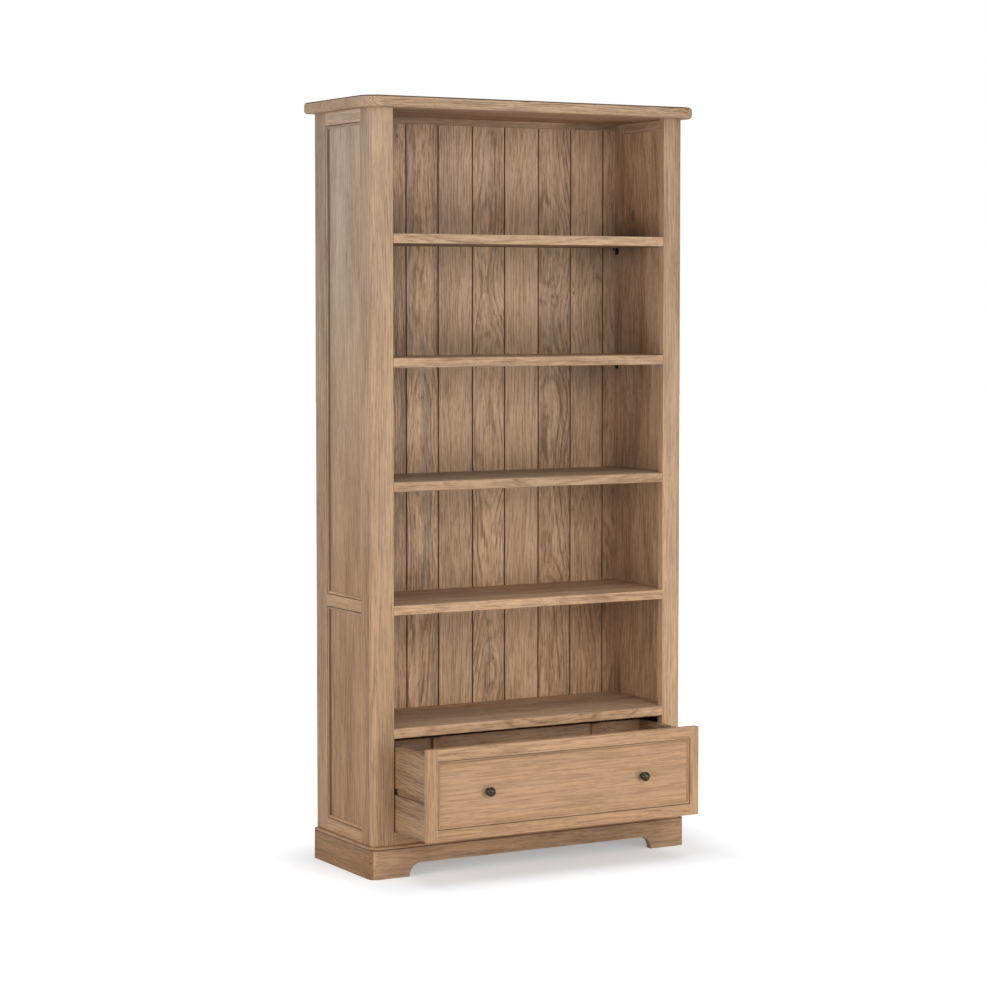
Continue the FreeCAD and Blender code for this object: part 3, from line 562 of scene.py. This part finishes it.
# %% Back boards
# Each board: the log aside of it and behind it in metres, rise, ring in millimetres, figure, stain,
# shade, grey, and how far along its log it was cut
BACK_BOARDS = {
    1: (0.020, 0.020, 0.012, 4.4, 0.70, 0.30, 1.12, 0.6, 0.3),
    2: (-0.020, 0.018, 0.016, 4.6, 0.75, 0.20, 1.16, 0.8, 1.7),
    3: (0.020, 0.022, -0.014, 4.2, 0.75, 0.40, 1.12, 0.9, 3.1),
    4: (0.012, 0.020, 0.020, 4.4, 0.80, 0.30, 1.31, 0.9, 4.9),
    5: (-0.080, 0.020, -0.015, 4.4, 0.50, 0.15, 1.17, 0.4, 6.2),
    6: (0.004, 0.020, 0.012, 4.4, 0.75, 0.20, 1.22, 0.4, 7.7),
    7: (-0.070, 0.030, 0.018, 4.6, 0.40, 0.10, 1.14, 0.2, 9.4),
    8: (0.026, 0.022, -0.014, 4.5, 0.80, 0.25, 1.11, 0.5, 11.0),
    9: (-0.045, 0.020, 0.014, 4.4, 0.55, 0.25, 1.22, 0.2, 12.6),
    10: (0.030, 0.020, 0.012, 4.4, 0.55, 0.30, 1.22, 0.2, 14.1),
}
# Each knot: its X and Z in metres and its size in millimetres
BACK_KNOTS = {3: (-0.2325, 1.921, 3.5), 8: (0.251, 1.493, 3.0), 9: (0.317, 1.504, 3.0)}
# Painted light: the back boards are a little lighter and warmer at the floor than at the top, as the lamps
# light them.
BACK_WARMTH = (0.33, -0.17)
LOW_SHADE = 1.04
FIRST_MARKED_BOARD = 9
# The mark's middle and how far it reaches
CORNER_MARK = (Vector((0.43, 0.17, 1.650)), Vector((0.10, 0.16, 0.085)))
BOARD_TONGUE = 6 * MM
for number, (aside, behind, rise, ring, figure, stain, shade, grey, along) in BACK_BOARDS.items():
    node = "back_board_%d" % number
    log = at_log(node, "up", aside, behind, along)
    board_low, board_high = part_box(node)
    tongue = BOARD_TONGUE if number < len(BACK_BOARDS) else 0
    # Painted shade: each board darkens towards its edges, into the grooves between the boards.
    shade_and_marks = [(stain_and_shade_by_edges, "X", board_low.x, board_high.x - tongue)]
    if number >= FIRST_MARKED_BOARD:
        shade_and_marks.append((grey_mark, *CORNER_MARK))
    knot = None
    if number in BACK_KNOTS:
        knot_x, knot_z, knot_size = BACK_KNOTS[number]
        knot = (knot_x, board_low.y, knot_z, knot_size)
    shades = (shade * LOW_SHADE, shade)
    dress(node, oak("oak_" + node, "up", log, rise, ring, figure, stain, shades, BACK_WARMTH, grey, knot,
                    shade_and_marks))
print("back boards dressed:", len(BACK_BOARDS))

# %% [markdown]
# The rest of the case is calmer: posts, stiles and rails are cut from the side of the log, where the
# rings run straight. The table gives each piece its grain, and its place in the table picks its log.

# %% Case boards
# Each board: its grain, the log aside of it and behind it in metres, rise, ring in millimetres, figure,
# stain, and its shade and its warmth, each at the floor and at the top of the case
# The shades and warmths hold painted light: a board that stands in shade is darker, and both change with
# height as the lamps light it.
CASE_BOARDS = {
    "top_board": ("sideways", 0.06, 0.05, 0.010, 3.8, 0.50, 0.25, 0.95, 0.95, -0.20, -0.20),
    "front_post_left": ("up", 0.14, 0.05, 0.006, 5.0, 0.22, 0.22, 0.80, 0.89, 0.65, 0.03),
    "front_post_right": ("up", 0.13, 0.06, 0.006, 5.0, 0.22, 0.22, 1.10, 0.77, 0.43, 0.20),
    "side_front_stile_left": ("up", 0.12, 0.10, 0.005, 5.0, 0.30, 0.35, 0.80, 0.86, 1.00, -0.30),
    "side_front_stile_right": ("up", 0.12, 0.10, 0.005, 5.0, 0.50, 0.45, 1.02, 1.03, 0.25, 0.12),
    "side_rear_stile_left": ("up", 0.10, 0.12, 0.006, 5.5, 0.35, 0.30, 0.73, 0.77, 0.70, -0.30),
    "side_rear_stile_right": ("up", 0.10, 0.12, 0.006, 5.0, 0.50, 0.45, 1.02, 1.03, 0.25, 0.12),
    "side_upper_panel_left": ("up", 0.05, 0.12, 0.012, 6.0, 0.36, 0.30, 0.63, 0.94, 1.45, -0.68),
    "side_upper_panel_right": ("up", 0.05, 0.12, 0.012, 4.6, 0.65, 0.50, 1.07, 1.07, 0.25, 0.12),
    "side_lower_panel_left": ("up", 0.04, 0.11, 0.018, 6.0, 0.38, 0.35, 0.69, 0.76, 1.15, -0.20),
    "side_lower_panel_right": ("up", 0.04, 0.11, 0.018, 4.6, 0.65, 0.50, 1.06, 1.08, 0.25, 0.12),
    "side_top_rail_left": ("deep", 0.10, 0.10, 0.010, 5.0, 0.25, 0.20, 1.10, 1.10, -0.60, -0.60),
    "side_top_rail_right": ("deep", 0.10, 0.10, 0.010, 5.0, 0.30, 0.30, 1.02, 1.02, 0.20, 0.12),
    "side_middle_rail_left": ("deep", 0.10, 0.10, 0.010, 5.0, 0.30, 0.30, 0.84, 0.89, 1.00, -0.30),
    "side_middle_rail_right": ("deep", 0.10, 0.10, 0.010, 5.0, 0.30, 0.30, 1.00, 1.02, 0.20, 0.12),
    "side_bottom_rail_left": ("deep", 0.10, 0.10, 0.010, 5.0, 0.30, 0.30, 0.82, 0.86, 1.00, -0.30),
    "side_bottom_rail_right": ("deep", 0.10, 0.10, 0.010, 5.0, 0.30, 0.30, 1.00, 1.02, 0.20, 0.12),
    "bottom_rail": ("sideways", 0.08, 0.06, 0.010, 5.5, 0.40, 0.35, 0.84, 0.84, 0.73, 0.73),
    "back_top_cleat": ("sideways", 0.08, 0.08, 0.010, 5.0, 0.40, 0.30, 0.95, 0.95, 0.10, 0.10),
    "fixed_shelf": ("sideways", 0.08, 0.04, 0.015, 3.8, 0.60, 0.25, 1.12, 1.12, 0.02, 0.02),
    "drawer_deck": ("sideways", 0.12, 0.05, 0.012, 4.0, 0.58, 0.25, 1.16, 1.16, -0.08, -0.08),
    "shelf_1": ("sideways", 0.09, 0.03, 0.010, 3.6, 0.45, 0.20, 1.03, 1.03, -0.32, -0.32),
    "shelf_2": ("sideways", 0.08, 0.04, 0.012, 3.6, 0.55, 0.20, 0.95, 0.95, -0.18, -0.18),
    "shelf_3": ("sideways", 0.09, 0.02, 0.015, 3.6, 0.58, 0.22, 0.83, 0.83, -0.10, -0.10),
    "base_panel": ("sideways", 0.04, 0.05, 0.010, 6.0, 0.45, 0.35, 0.85, 0.85, 0.60, 0.60),
    "plinth_front": ("sideways", 0.09, 0.06, 0.010, 4.2, 0.36, 0.30, 0.83, 0.83, 0.60, 0.60),
    "plinth_left": ("deep", 0.05, 0.06, 0.012, 6.0, 0.36, 0.30, 0.56, 0.56, 1.35, 1.35),
    "plinth_right": ("deep", 0.05, 0.06, 0.012, 6.0, 0.40, 0.35, 0.58, 0.58, 1.10, 1.10),
    "plinth_back": ("sideways", 0.04, 0.05, 0.012, 6.0, 0.40, 0.35, 0.80, 0.80, 0.90, 0.90),
    "plinth_bead": ("sideways", 0.04, 0.05, 0.010, 5.0, 0.30, 0.30, 0.82, 0.82, 0.85, 0.85),
    "corner_blocks": ("up", 0.05, 0.05, 0.010, 5.0, 0.35, 0.30, 0.85, 0.85, 0.80, 0.80),
    "drawer_runner_left": ("deep", 0.05, 0.05, 0.010, 5.0, 0.35, 0.30, 0.85, 0.85, 0.60, 0.60),
    "drawer_runner_right": ("deep", 0.05, 0.05, 0.010, 5.0, 0.35, 0.30, 0.85, 0.85, 0.60, 0.60),
}
# A knot's place in metres and its size in millimetres, and the gloss of boards whose oil has worn off
CASE_KNOTS = {"side_upper_panel_right": (0.452, 0.162, 1.717, 7.5)}
DRY_BOARDS = {"top_board": 0.05}
SHELVES = ("shelf_1", "shelf_2", "shelf_3", "fixed_shelf", "drawer_deck")
TOP_CORNER = 52 * MM
MOULDING_WIDTH = 8.5
MARK_END = 3 * MM
SHELF_UNDERSIDE_SHADE = 0.42
TOP_UNDERSIDE_SHADE = 0.88
LOG_SPACING = 2
CASE_LOGS = 20
# How far from an edge its dark line, mostly painted shade, is full and where it ends, in millimetres
LEDGE_LINE = (1.2, 2.4)
PLINTH_LINE = (1.6, 3.0)
PLINTH_END_LINE = (0.6, 1.8)
top_low, top_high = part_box("top_board")
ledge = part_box("plinth_bead")[1].z
plinth_low, plinth_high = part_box("plinth_front")
# Painted shade on the undersides of the shelves and the top, and on the top's upper arris; each shelf's front
# edge gets a warmer colour than its top.
CASE_SHADE_AND_MARKS = {node: [(painted_shade_below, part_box(node)[0].z, SHELF_UNDERSIDE_SHADE), (warmer_in_front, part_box(node)[0].y)]
               for node in SHELVES}
CASE_SHADE_AND_MARKS["top_board"] = [(painted_shade_below, top_low.z, TOP_UNDERSIDE_SHADE),
                            (painted_shade_on_arris, (top_low + top_high) / 2, (top_high - top_low) / 2, TOP_CORNER)]
# Painted shade on each side panel's outer face, just in front of its rear moulding.
for side in ("left", "right"):
    moulding_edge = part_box("side_rear_stile_" + side)[0].y - MOULDING_WIDTH * MM
    for level in ("upper", "lower"):
        panel = "side_%s_panel_%s" % (level, side)
        panel_low, panel_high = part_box(panel)
        outer = panel_low.x if side == "left" else panel_high.x
        CASE_SHADE_AND_MARKS[panel] = [(painted_shade_by_moulding, outer, moulding_edge)]
# A dark grey mark on the right wall, by the back right corner at the first shelf.
for node in ("side_rear_stile_right", "side_upper_panel_right"):
    CASE_SHADE_AND_MARKS.setdefault(node, []).append((grey_mark, *CORNER_MARK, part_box(node)[0].x + MARK_END))
# Painted shade: a dark line on the case just above the plinth's bead and on the plinth just under it. The
# plinth front also darkens at both ends, at its corners.
for node in ("side_front_stile_", "side_rear_stile_", "side_bottom_rail_", "front_post_"):
    for side in ("left", "right"):
        CASE_SHADE_AND_MARKS.setdefault(node + side, []).append((stain_and_shade_by_edges, "Z", ledge, FAR, *LEDGE_LINE))
CASE_SHADE_AND_MARKS["bottom_rail"] = [(stain_and_shade_by_edges, "Z", ledge, FAR, *LEDGE_LINE)]
for node in ("plinth_front", "plinth_left", "plinth_right"):
    CASE_SHADE_AND_MARKS[node] = [(stain_and_shade_by_edges, "Z", -FAR, plinth_high.z, *PLINTH_LINE)]
CASE_SHADE_AND_MARKS["plinth_front"].append((stain_and_shade_by_edges, "X", plinth_low.x, plinth_high.x, *PLINTH_END_LINE))


def dress_boards(boards, first_log):
    """Dresses the boards of a table, each from a log that lies further on than the one before."""
    for number, (node, row) in enumerate(boards.items()):
        grain, aside, behind, rise, ring, figure, stain, shade_low, shade_high, warm_low, warm_high = row
        log = at_log(node, grain, aside, behind, first_log + LOG_SPACING * number)
        shades, warmths = (shade_low, shade_high), (warm_low, warm_high)
        dress(node, oak("oak_" + node, grain, log, rise, ring, figure, stain, shades, warmths,
                        knot=CASE_KNOTS.get(node), shade_and_marks=CASE_SHADE_AND_MARKS.get(node, ()),
                        gloss=DRY_BOARDS.get(node, OAK_GLOSS)))


dress_boards(CASE_BOARDS, CASE_LOGS)
print("case boards dressed:", len(CASE_BOARDS))

# %% [markdown]
# The drawer's front is the palest and calmest oak of all, with the grain running across. Its box is
# plainer stuff, and the sides show a livelier figure.

# %% Drawer boards
DRAWER_LOGS = 90
# As on the case, the shades and warmths hold painted light.
DRAWER_BOARDS = {
    "drawer_front_panel": ("sideways", 0.16, 0.03, 0.004, 5.0, 0.14, 0.10, 0.92, 0.92, 0.73, 0.73),
    "drawer_front_top_rail": ("sideways", 0.12, 0.04, 0.004, 4.5, 0.28, 0.15, 0.98, 0.98, 0.65, 0.65),
    "drawer_front_bottom_rail": ("sideways", 0.12, 0.04, 0.004, 4.5, 0.28, 0.15, 0.91, 0.91, 0.80, 0.80),
    "drawer_front_stile_left": ("up", 0.10, 0.08, 0.006, 5.0, 0.25, 0.20, 0.96, 0.96, 0.72, 0.72),
    "drawer_front_stile_right": ("up", 0.10, 0.08, 0.006, 5.0, 0.25, 0.20, 0.96, 0.96, 0.72, 0.72),
    "drawer_side_left": ("deep", 0.03, 0.04, 0.060, 8.0, 0.60, 0.40, 0.72, 0.72, 0.60, 0.60),
    "drawer_side_right": ("deep", 0.03, 0.04, 0.060, 8.0, 0.60, 0.40, 0.72, 0.72, 0.60, 0.60),
    "drawer_back": ("sideways", 0.05, 0.05, 0.010, 6.0, 0.40, 0.35, 1.22, 1.22, 0.24, 0.24),
    "drawer_bottom": ("sideways", 0.05, 0.05, 0.010, 6.0, 0.40, 0.35, 0.90, 0.90, 0.40, 0.40),
    "drawer_back_battens": ("up", 0.10, 0.08, 0.006, 5.0, 0.25, 0.20, 0.93, 0.93, 0.50, 0.50),
}
dress_boards(DRAWER_BOARDS, DRAWER_LOGS)
print("drawer boards dressed:", len(DRAWER_BOARDS))

# %% [markdown]
# ## Dark metal
#
# The knobs and shelf pegs are steel, blackened and rubbed back. A cloudy noise mixes two dark tones and also
# varies the polish.

# %% Metal
METAL_ROUGH = (0.28, 0.16)
METAL_TONES = ((0.30, (0.013, 0.013, 0.009, 1)), (0.80, (0.060, 0.061, 0.043, 1)))
metal, metal_tree = empty_material("rubbed_black_metal")
metal_place = add(metal_tree, "ShaderNodeTexCoord").outputs["Object"]


def metal_noise(scale, detail):
    """Noise with so many clouds to the metre."""
    inputs = {"Vector": metal_place, "Scale": scale, "Detail": detail}
    return add(metal_tree, "ShaderNodeTexNoise", inputs).outputs[0]


cloud = metal_noise(110.0, 3.0)
hammer = metal_noise(420.0, 2.0)
metal_ramp = add(metal_tree, "ShaderNodeValToRGB", {"Fac": cloud})
for stop, (position, tone) in zip(metal_ramp.color_ramp.elements, METAL_TONES):
    stop.position = position
    stop.color = tone
metal_rough = soft_step(metal_tree, cloud, 0.3, 0.7, *METAL_ROUGH)
metal_bump = add(metal_tree, "ShaderNodeBump", {"Height": hammer, "Strength": 0.15, "Distance": 0.0003})
metal_surface = add(metal_tree, "ShaderNodeBsdfPrincipled", {
    "Base Color": metal_ramp.outputs[0], "Roughness": metal_rough, "Normal": metal_bump.outputs[0],
    "Metallic": 0.9})
add(metal_tree, "ShaderNodeOutputMaterial", {"Surface": metal_surface.outputs[0]})
dress("knob_screws", metal)
print("metal roughness in hollows and on high places:", METAL_ROUGH)

# %% [markdown]
# ## Knobs
#
# The real knobs are turned, so we turn ours: half the outline is drawn once, as a chain of points from
# the rosette to the crown, and spun round the axis. A subdivision surface then smooths the few steps,
# which gives a softer shape than many straight steps would.

# %% Turned knobs
# Half the outline: each point's distance from the axis and its height, in millimetres
KNOB_OUTLINE = (
    (0.0, 0.0), (8.3, 0.0), (8.9, 0.9), (8.6, 2.6), (7.0, 3.2), (5.4, 4.2), (4.9, 7.0), (5.6, 9.6),
    (8.6, 11.6), (11.9, 13.9), (12.8, 17.0), (11.9, 20.2), (9.0, 23.0), (4.6, 24.6), (1.6, 24.96),
    (0.0, 24.98),
)
KNOB_STEPS = 24
KNOB_SMOOTHING = 2
# Places that lie closer than this count as one
NEAR = 0.01 * MM


def smooth_faces(piece):
    """Shades every face of a piece smoothly."""
    for face in piece.data.polygons:
        face.use_smooth = True


def turned_knob(name, node):
    """A knob spun round the middle of the frame's own, standing on the drawer's panel."""
    low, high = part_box(node)
    foot = Vector(((low.x + high.x) / 2, high.y, (low.z + high.z) / 2))
    bm = bmesh.new()
    points = [bm.verts.new(foot + Vector((radius * MM, -height * MM, 0))) for radius, height in KNOB_OUTLINE]
    chain = [bm.edges.new(pair) for pair in zip(points, points[1:])]
    bmesh.ops.spin(bm, geom=points + chain, cent=foot, axis=(0, 1, 0), angle=math.tau, steps=KNOB_STEPS,
                   use_merge=True)
    bmesh.ops.remove_doubles(bm, verts=bm.verts, dist=NEAR)
    knob = finished_piece(name, bm, [metal])
    smooth_faces(knob)
    rounder = knob.modifiers.new("rounder", "SUBSURF")
    rounder.levels = KNOB_SMOOTHING
    rounder.render_levels = KNOB_SMOOTHING
    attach(knob, "drawer")
    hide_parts(node)
    return knob


for side in ("left", "right"):
    knob = turned_knob("turned_knob_" + side, "knob_" + side)
    print(knob.name, "faces before smoothing:", len(knob.data.polygons))

# %% [markdown]
# ## Shelf pegs
#
# A shelf peg is a bit of steel strip, bent to an L with rounded ends, and riveted to a pin. We draw the
# L from the side, extrude it to the strip's width, and let bevels make the bend and the round ends. One
# peg is made for each place, twelve in all, and they go into one mesh because they are one fitting.

# %% Bent pegs
# All in millimetres
PEG_FLANGE = 15.0
PEG_PLATE = 3.2
PEG_WIDTH = 13.0
PEG_DROP = 18.0
PEG_INSET = 14.0
PEG_END_ROUND = 6.0
PEG_BEND_ROUND = 1.0
PIN_RADIUS = 2.5
PIN_LENGTH = 10.0
BOSS_RADIUS = 5.0
BOSS_HEIGHT = 2.0
BOSS_ROUND = 0.9
NUB_RADIUS = 2.8
NUB_TAPER = 0.8
NUB_HEIGHT = 3.0
NUB_INSET = 3.2


def edges_where(bm, test):
    """The edges whose both ends pass a test."""
    return [e for e in bm.edges if all(test(v.co) for v in e.verts)]


def round_edges(bm, edges, radius, segments):
    """Rounds edges with a bevel of so many segments."""
    bmesh.ops.bevel(bm, geom=edges, offset=radius, offset_type="OFFSET", segments=segments, profile=0.5,
                    affect="EDGES", material=-1, clamp_overlap=True)


def join_part(bm, part):
    """Adds a part to a larger bmesh, its faces pointing outwards, and frees it."""
    bmesh.ops.recalc_face_normals(part, faces=part.faces)
    helper = bpy.data.meshes.new("helper")
    part.to_mesh(helper)
    part.free()
    bm.from_mesh(helper)
    bpy.data.meshes.remove(helper)


def bent_peg(bm, side, y, underside):
    """One peg: side is -1 for the left wall and 1 for the right."""
    part = bmesh.new()
    outline = ((0, 0), (PEG_FLANGE, 0), (PEG_FLANGE, -PEG_PLATE), (PEG_PLATE, -PEG_PLATE),
               (PEG_PLATE, -PEG_DROP), (0, -PEG_DROP))
    half = PEG_WIDTH / 2
    face = part.faces.new([part.verts.new((x * MM, -half * MM, z * MM)) for x, z in outline])
    grown = bmesh.ops.extrude_face_region(part, geom=[face])["geom"]
    bmesh.ops.translate(part, verts=[g for g in grown if isinstance(g, bmesh.types.BMVert)],
                        vec=(0, PEG_WIDTH * MM, 0))
    tip = edges_where(part, lambda c: abs(c.x - PEG_FLANGE * MM) < NEAR)
    upright_tip = [e for e in tip if abs(e.verts[0].co.z - e.verts[1].co.z) > NEAR]
    foot = edges_where(part, lambda c: abs(c.z + PEG_DROP * MM) < NEAR)
    level_foot = [e for e in foot if abs(e.verts[0].co.x - e.verts[1].co.x) > NEAR]
    round_edges(part, upright_tip + level_foot, PEG_END_ROUND * MM, 6)
    inner = edges_where(part, lambda c: abs(c.x - PEG_PLATE * MM) < NEAR and abs(c.z + PEG_PLATE * MM) < NEAR)
    round_edges(part, inner, PEG_BEND_ROUND * MM, 3)
    aside = Matrix.Rotation(math.radians(90), 4, "Y")
    boss_depth = (PEG_PLATE + BOSS_HEIGHT) * MM
    boss = bmesh.ops.create_cone(part, cap_ends=True, segments=20, radius1=BOSS_RADIUS * MM,
                                 radius2=BOSS_RADIUS * MM, depth=boss_depth,
                                 matrix=Matrix.Translation((boss_depth / 2, 0, -PEG_DROP / 2 * MM)) @ aside)
    crown = [e for v in boss["verts"] for e in v.link_edges
             if all(abs(u.co.x - boss_depth) < NEAR for u in e.verts)]
    round_edges(part, list(set(crown)), BOSS_ROUND * MM, 3)
    nub_depth = (PEG_PLATE + NUB_HEIGHT) * MM
    nub_place = Matrix.Translation(((PEG_FLANGE - NUB_INSET) * MM, 0, -nub_depth / 2))
    bmesh.ops.create_cone(part, cap_ends=True, segments=16, radius1=NUB_RADIUS * NUB_TAPER * MM,
                          radius2=NUB_RADIUS * MM, depth=nub_depth, matrix=nub_place)
    pin_place = Matrix.Translation((-PIN_LENGTH / 2 * MM, 0, -PEG_DROP / 2 * MM)) @ aside
    bmesh.ops.create_cone(part, cap_ends=True, segments=16, radius1=PIN_RADIUS * MM, radius2=PIN_RADIUS * MM,
                          depth=PIN_LENGTH * MM, matrix=pin_place)
    if side > 0:
        bmesh.ops.scale(part, vec=(-1, 1, 1), verts=part.verts)
    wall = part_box("side_front_stile_left")[1].x * -side
    bmesh.ops.translate(part, verts=part.verts, vec=(wall, y, underside))
    join_part(bm, part)


pegs_bm = bmesh.new()
peg_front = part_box("front_post_left")[1].y + PEG_INSET * MM
peg_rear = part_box("back_board_5")[0].y - PEG_INSET * MM
peg_count = 0
for shelf in ("shelf_1", "shelf_2", "shelf_3"):
    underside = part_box(shelf)[0].z
    for y in (peg_front, peg_rear):
        for side in (-1, 1):
            bent_peg(pegs_bm, side, y, underside)
            peg_count += 1
pegs = finished_piece("bent_shelf_pegs", pegs_bm, [metal])
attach(pegs, "case")
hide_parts("shelf_pegs")
print("pegs made:", peg_count, "faces:", len(pegs.data.polygons))

# %% [markdown]
# ## Mouldings round the panels
#
# A moulding is planed in long lengths and sawn at 45 degrees. We do the same. The section starts as a
# few points, is extruded to the length of one side of the opening, gets its round nose from a bevel, and
# is cut at both ends by a plane. Each length keeps the grain along itself, which one bent ring could not.

# %% Moulding maker
# All in millimetres, but for the two material slots
MOULDING_HEIGHT = 4.2
NOSE_PLACE = MOULDING_WIDTH * 0.62
HOLLOW_PLACE = MOULDING_WIDTH * 0.6
NOSE_ROUND = 2.2
QUIRK_WIDTH = 1.6
QUIRK_FLOOR = 0.3
QUIRK_ROUND = 1.1
QUIRK_MARGIN = 0.05
INNER_STEP = 1.0
FIRST_QUIRK_SLOT = 4
HOLLOW_SLOT = 8


def moulding_length(bm, start, end, inward, outward, slot_number, hollow):
    """One length between two outer corners, its section growing inward and standing outward."""
    section = ((0, 0), (0, QUIRK_FLOOR), (QUIRK_WIDTH, QUIRK_FLOOR), (QUIRK_WIDTH, MOULDING_HEIGHT),
               (NOSE_PLACE, MOULDING_HEIGHT), (MOULDING_WIDTH, INNER_STEP), (MOULDING_WIDTH, 0))
    part = bmesh.new()
    places = [start + inward * (a * MM) + outward * (b * MM) for a, b in section]
    face = part.faces.new([part.verts.new(p) for p in places])
    grown = bmesh.ops.extrude_face_region(part, geom=[face])["geom"]
    bmesh.ops.translate(part, verts=[g for g in grown if isinstance(g, bmesh.types.BMVert)], vec=end - start)
    along = (end - start).normalized()

    def edges_at(a, b):
        """The long edges at a place of the section."""
        return edges_where(part, lambda c: abs((c - start).dot(inward) - a * MM) < NEAR
                           and abs((c - start).dot(outward) - b * MM) < NEAR)

    round_edges(part, edges_at(QUIRK_WIDTH, MOULDING_HEIGHT), QUIRK_ROUND * MM, 4)
    round_edges(part, edges_at(NOSE_PLACE, MOULDING_HEIGHT), NOSE_ROUND * MM, 5)
    for corner, direction in ((start, along), (end, -along)):
        everything = part.verts[:] + part.edges[:] + part.faces[:]
        cut = bmesh.ops.bisect_plane(part, geom=everything, plane_co=corner, plane_no=(inward - direction),
                                     clear_outer=True)
        rim = [g for g in cut["geom_cut"] if isinstance(g, bmesh.types.BMEdge)]
        bmesh.ops.edgeloop_fill(part, edges=rim)
    for f in part.faces:
        reach = (f.calc_center_median() - start).dot(inward)
        f.material_index = slot_number
        # Painted shade: a stick's hollow, where it has one, and otherwise its quirk take the darker oaks.
        if hollow and reach > HOLLOW_PLACE * MM:
            f.material_index = HOLLOW_SLOT
        if not hollow and reach < (QUIRK_WIDTH + QUIRK_MARGIN) * MM:
            f.material_index = FIRST_QUIRK_SLOT + slot_number
    join_part(bm, part)


def moulding_round(bm, corners, outward, dark_hollows=()):
    """Four lengths round an opening, given its corners in order, each from its own stick of oak."""
    middle = sum(corners, Vector()) / 4
    for number in range(4):
        start, end = corners[number], corners[(number + 1) % 4]
        along = (end - start).normalized()
        to_middle = middle - start
        inward = (to_middle - along * to_middle.dot(along) - outward * to_middle.dot(outward)).normalized()
        moulding_length(bm, start, end, inward, outward, number, number in dark_hollows)


print("moulding section:", MOULDING_WIDTH, "by", MOULDING_HEIGHT, "mm")

# %% [markdown]
# Each side of the case has two panels, and the drawer front has one. The openings are read from the
# boards round them, so the mouldings always fit.

# %% Mouldings
SIDE_LOGS = 120
SIDE_LOG_STEP = 10
DRAWER_STICK_LOGS = 140
REAR_STICK = 1
# Each stick: its grain, its shade at the floor and at the top, and how dark its quirk is. These are painted
# shade: sticks that face down or away from the lamps, and the quirks, are darker.
SIDE_STICKS = (
    ("deep", 0.88, 0.93, 0.16), ("up", 0.90, 1.05, 0.16),
    ("deep", 0.65, 0.69, 0.16), ("up", 0.78, 0.90, 0.16))
DRAWER_STICKS = (
    ("sideways", 0.92, 0.92, 0.45), ("up", 0.72, 0.72, 0.12),
    ("sideways", 0.76, 0.76, 0.90), ("up", 0.80, 0.80, 0.85))
STICK_OAK = {"rise": 0.006, "ring": 4.0, "figure": 0.30, "stain": 0.2}
STICK_LOG = (0.1, 0.1)
SIDE_WARMTH = (0.9, -0.3)
DRAWER_WARMTH = (0.75, 0.75)
# Painted shade for the quirks and the rear hollows
QUIRK_WARMTH = (1.2, 1.2)
HOLLOW_WARMTH = (1.2, 0.6)
HOLLOW_SHADE = (0.32, 0.36)


def moulding_oaks(name, node, sticks, warmth, first_log):
    """An oak for each of four sticks, and darker ones for quirks and hollows, with painted shade in these
    grooves.
    """
    oaks, quirks = [], []
    for number, (grain, shade_low, shade_high, quirk) in enumerate(sticks):
        log = at_log(node, grain, *STICK_LOG, first_log + LOG_SPACING * number)
        oaks.append(oak("oak_%s_%d" % (name, number), grain, log, shade=(shade_low, shade_high),
                        warmth=warmth, **STICK_OAK))
        quirks.append(oak("oak_%s_quirk_%d" % (name, number), grain, log, shade=(quirk, quirk),
                          warmth=QUIRK_WARMTH, **STICK_OAK))
    hollow = oak("oak_%s_hollow" % name, "up", log, shade=HOLLOW_SHADE, warmth=HOLLOW_WARMTH, **STICK_OAK)
    return [*oaks, *quirks, hollow]


for side, sign in (("left", -1), ("right", 1)):
    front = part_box("side_front_stile_" + side)[1].y
    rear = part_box("side_rear_stile_" + side)[0].y
    panel_low, panel_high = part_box("side_upper_panel_" + side)
    face_x = panel_low.x if sign < 0 else panel_high.x
    rounds_bm = bmesh.new()
    for above, below in (("side_top_rail_", "side_middle_rail_"), ("side_middle_rail_", "side_bottom_rail_")):
        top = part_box(above + side)[0].z
        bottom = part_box(below + side)[1].z
        corners = [Vector((face_x, y, z)) for y, z in (
            (front, bottom), (rear, bottom), (rear, top), (front, top))]
        moulding_round(rounds_bm, corners, Vector((sign, 0, 0)), dark_hollows=(REAR_STICK,))
    node = "side_beading_" + side
    oaks = moulding_oaks("moulding_" + side, node, SIDE_STICKS, SIDE_WARMTH, SIDE_LOGS + SIDE_LOG_STEP * sign)
    rounds = finished_piece("side_mouldings_" + side, rounds_bm, oaks)
    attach(rounds, "case")
    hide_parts(node)
    print(rounds.name, "faces:", len(rounds.data.polygons))

opening_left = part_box("drawer_front_stile_left")[1].x
opening_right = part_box("drawer_front_stile_right")[0].x
opening_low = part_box("drawer_front_bottom_rail")[1].z
opening_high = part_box("drawer_front_top_rail")[0].z
face_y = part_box("drawer_front_panel")[0].y
corners = [Vector((x, face_y, z)) for x, z in (
    (opening_left, opening_low), (opening_right, opening_low), (opening_right, opening_high),
    (opening_left, opening_high))]
drawer_bm = bmesh.new()
moulding_round(drawer_bm, corners, Vector((0, -1, 0)))
node = "drawer_front_beading"
oaks = moulding_oaks("drawer_moulding", node, DRAWER_STICKS, DRAWER_WARMTH, DRAWER_STICK_LOGS)
drawer_moulding = finished_piece("drawer_moulding", drawer_bm, oaks)
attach(drawer_moulding, "drawer")
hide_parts(node)
print(drawer_moulding.name, "faces:", len(drawer_moulding.data.polygons))
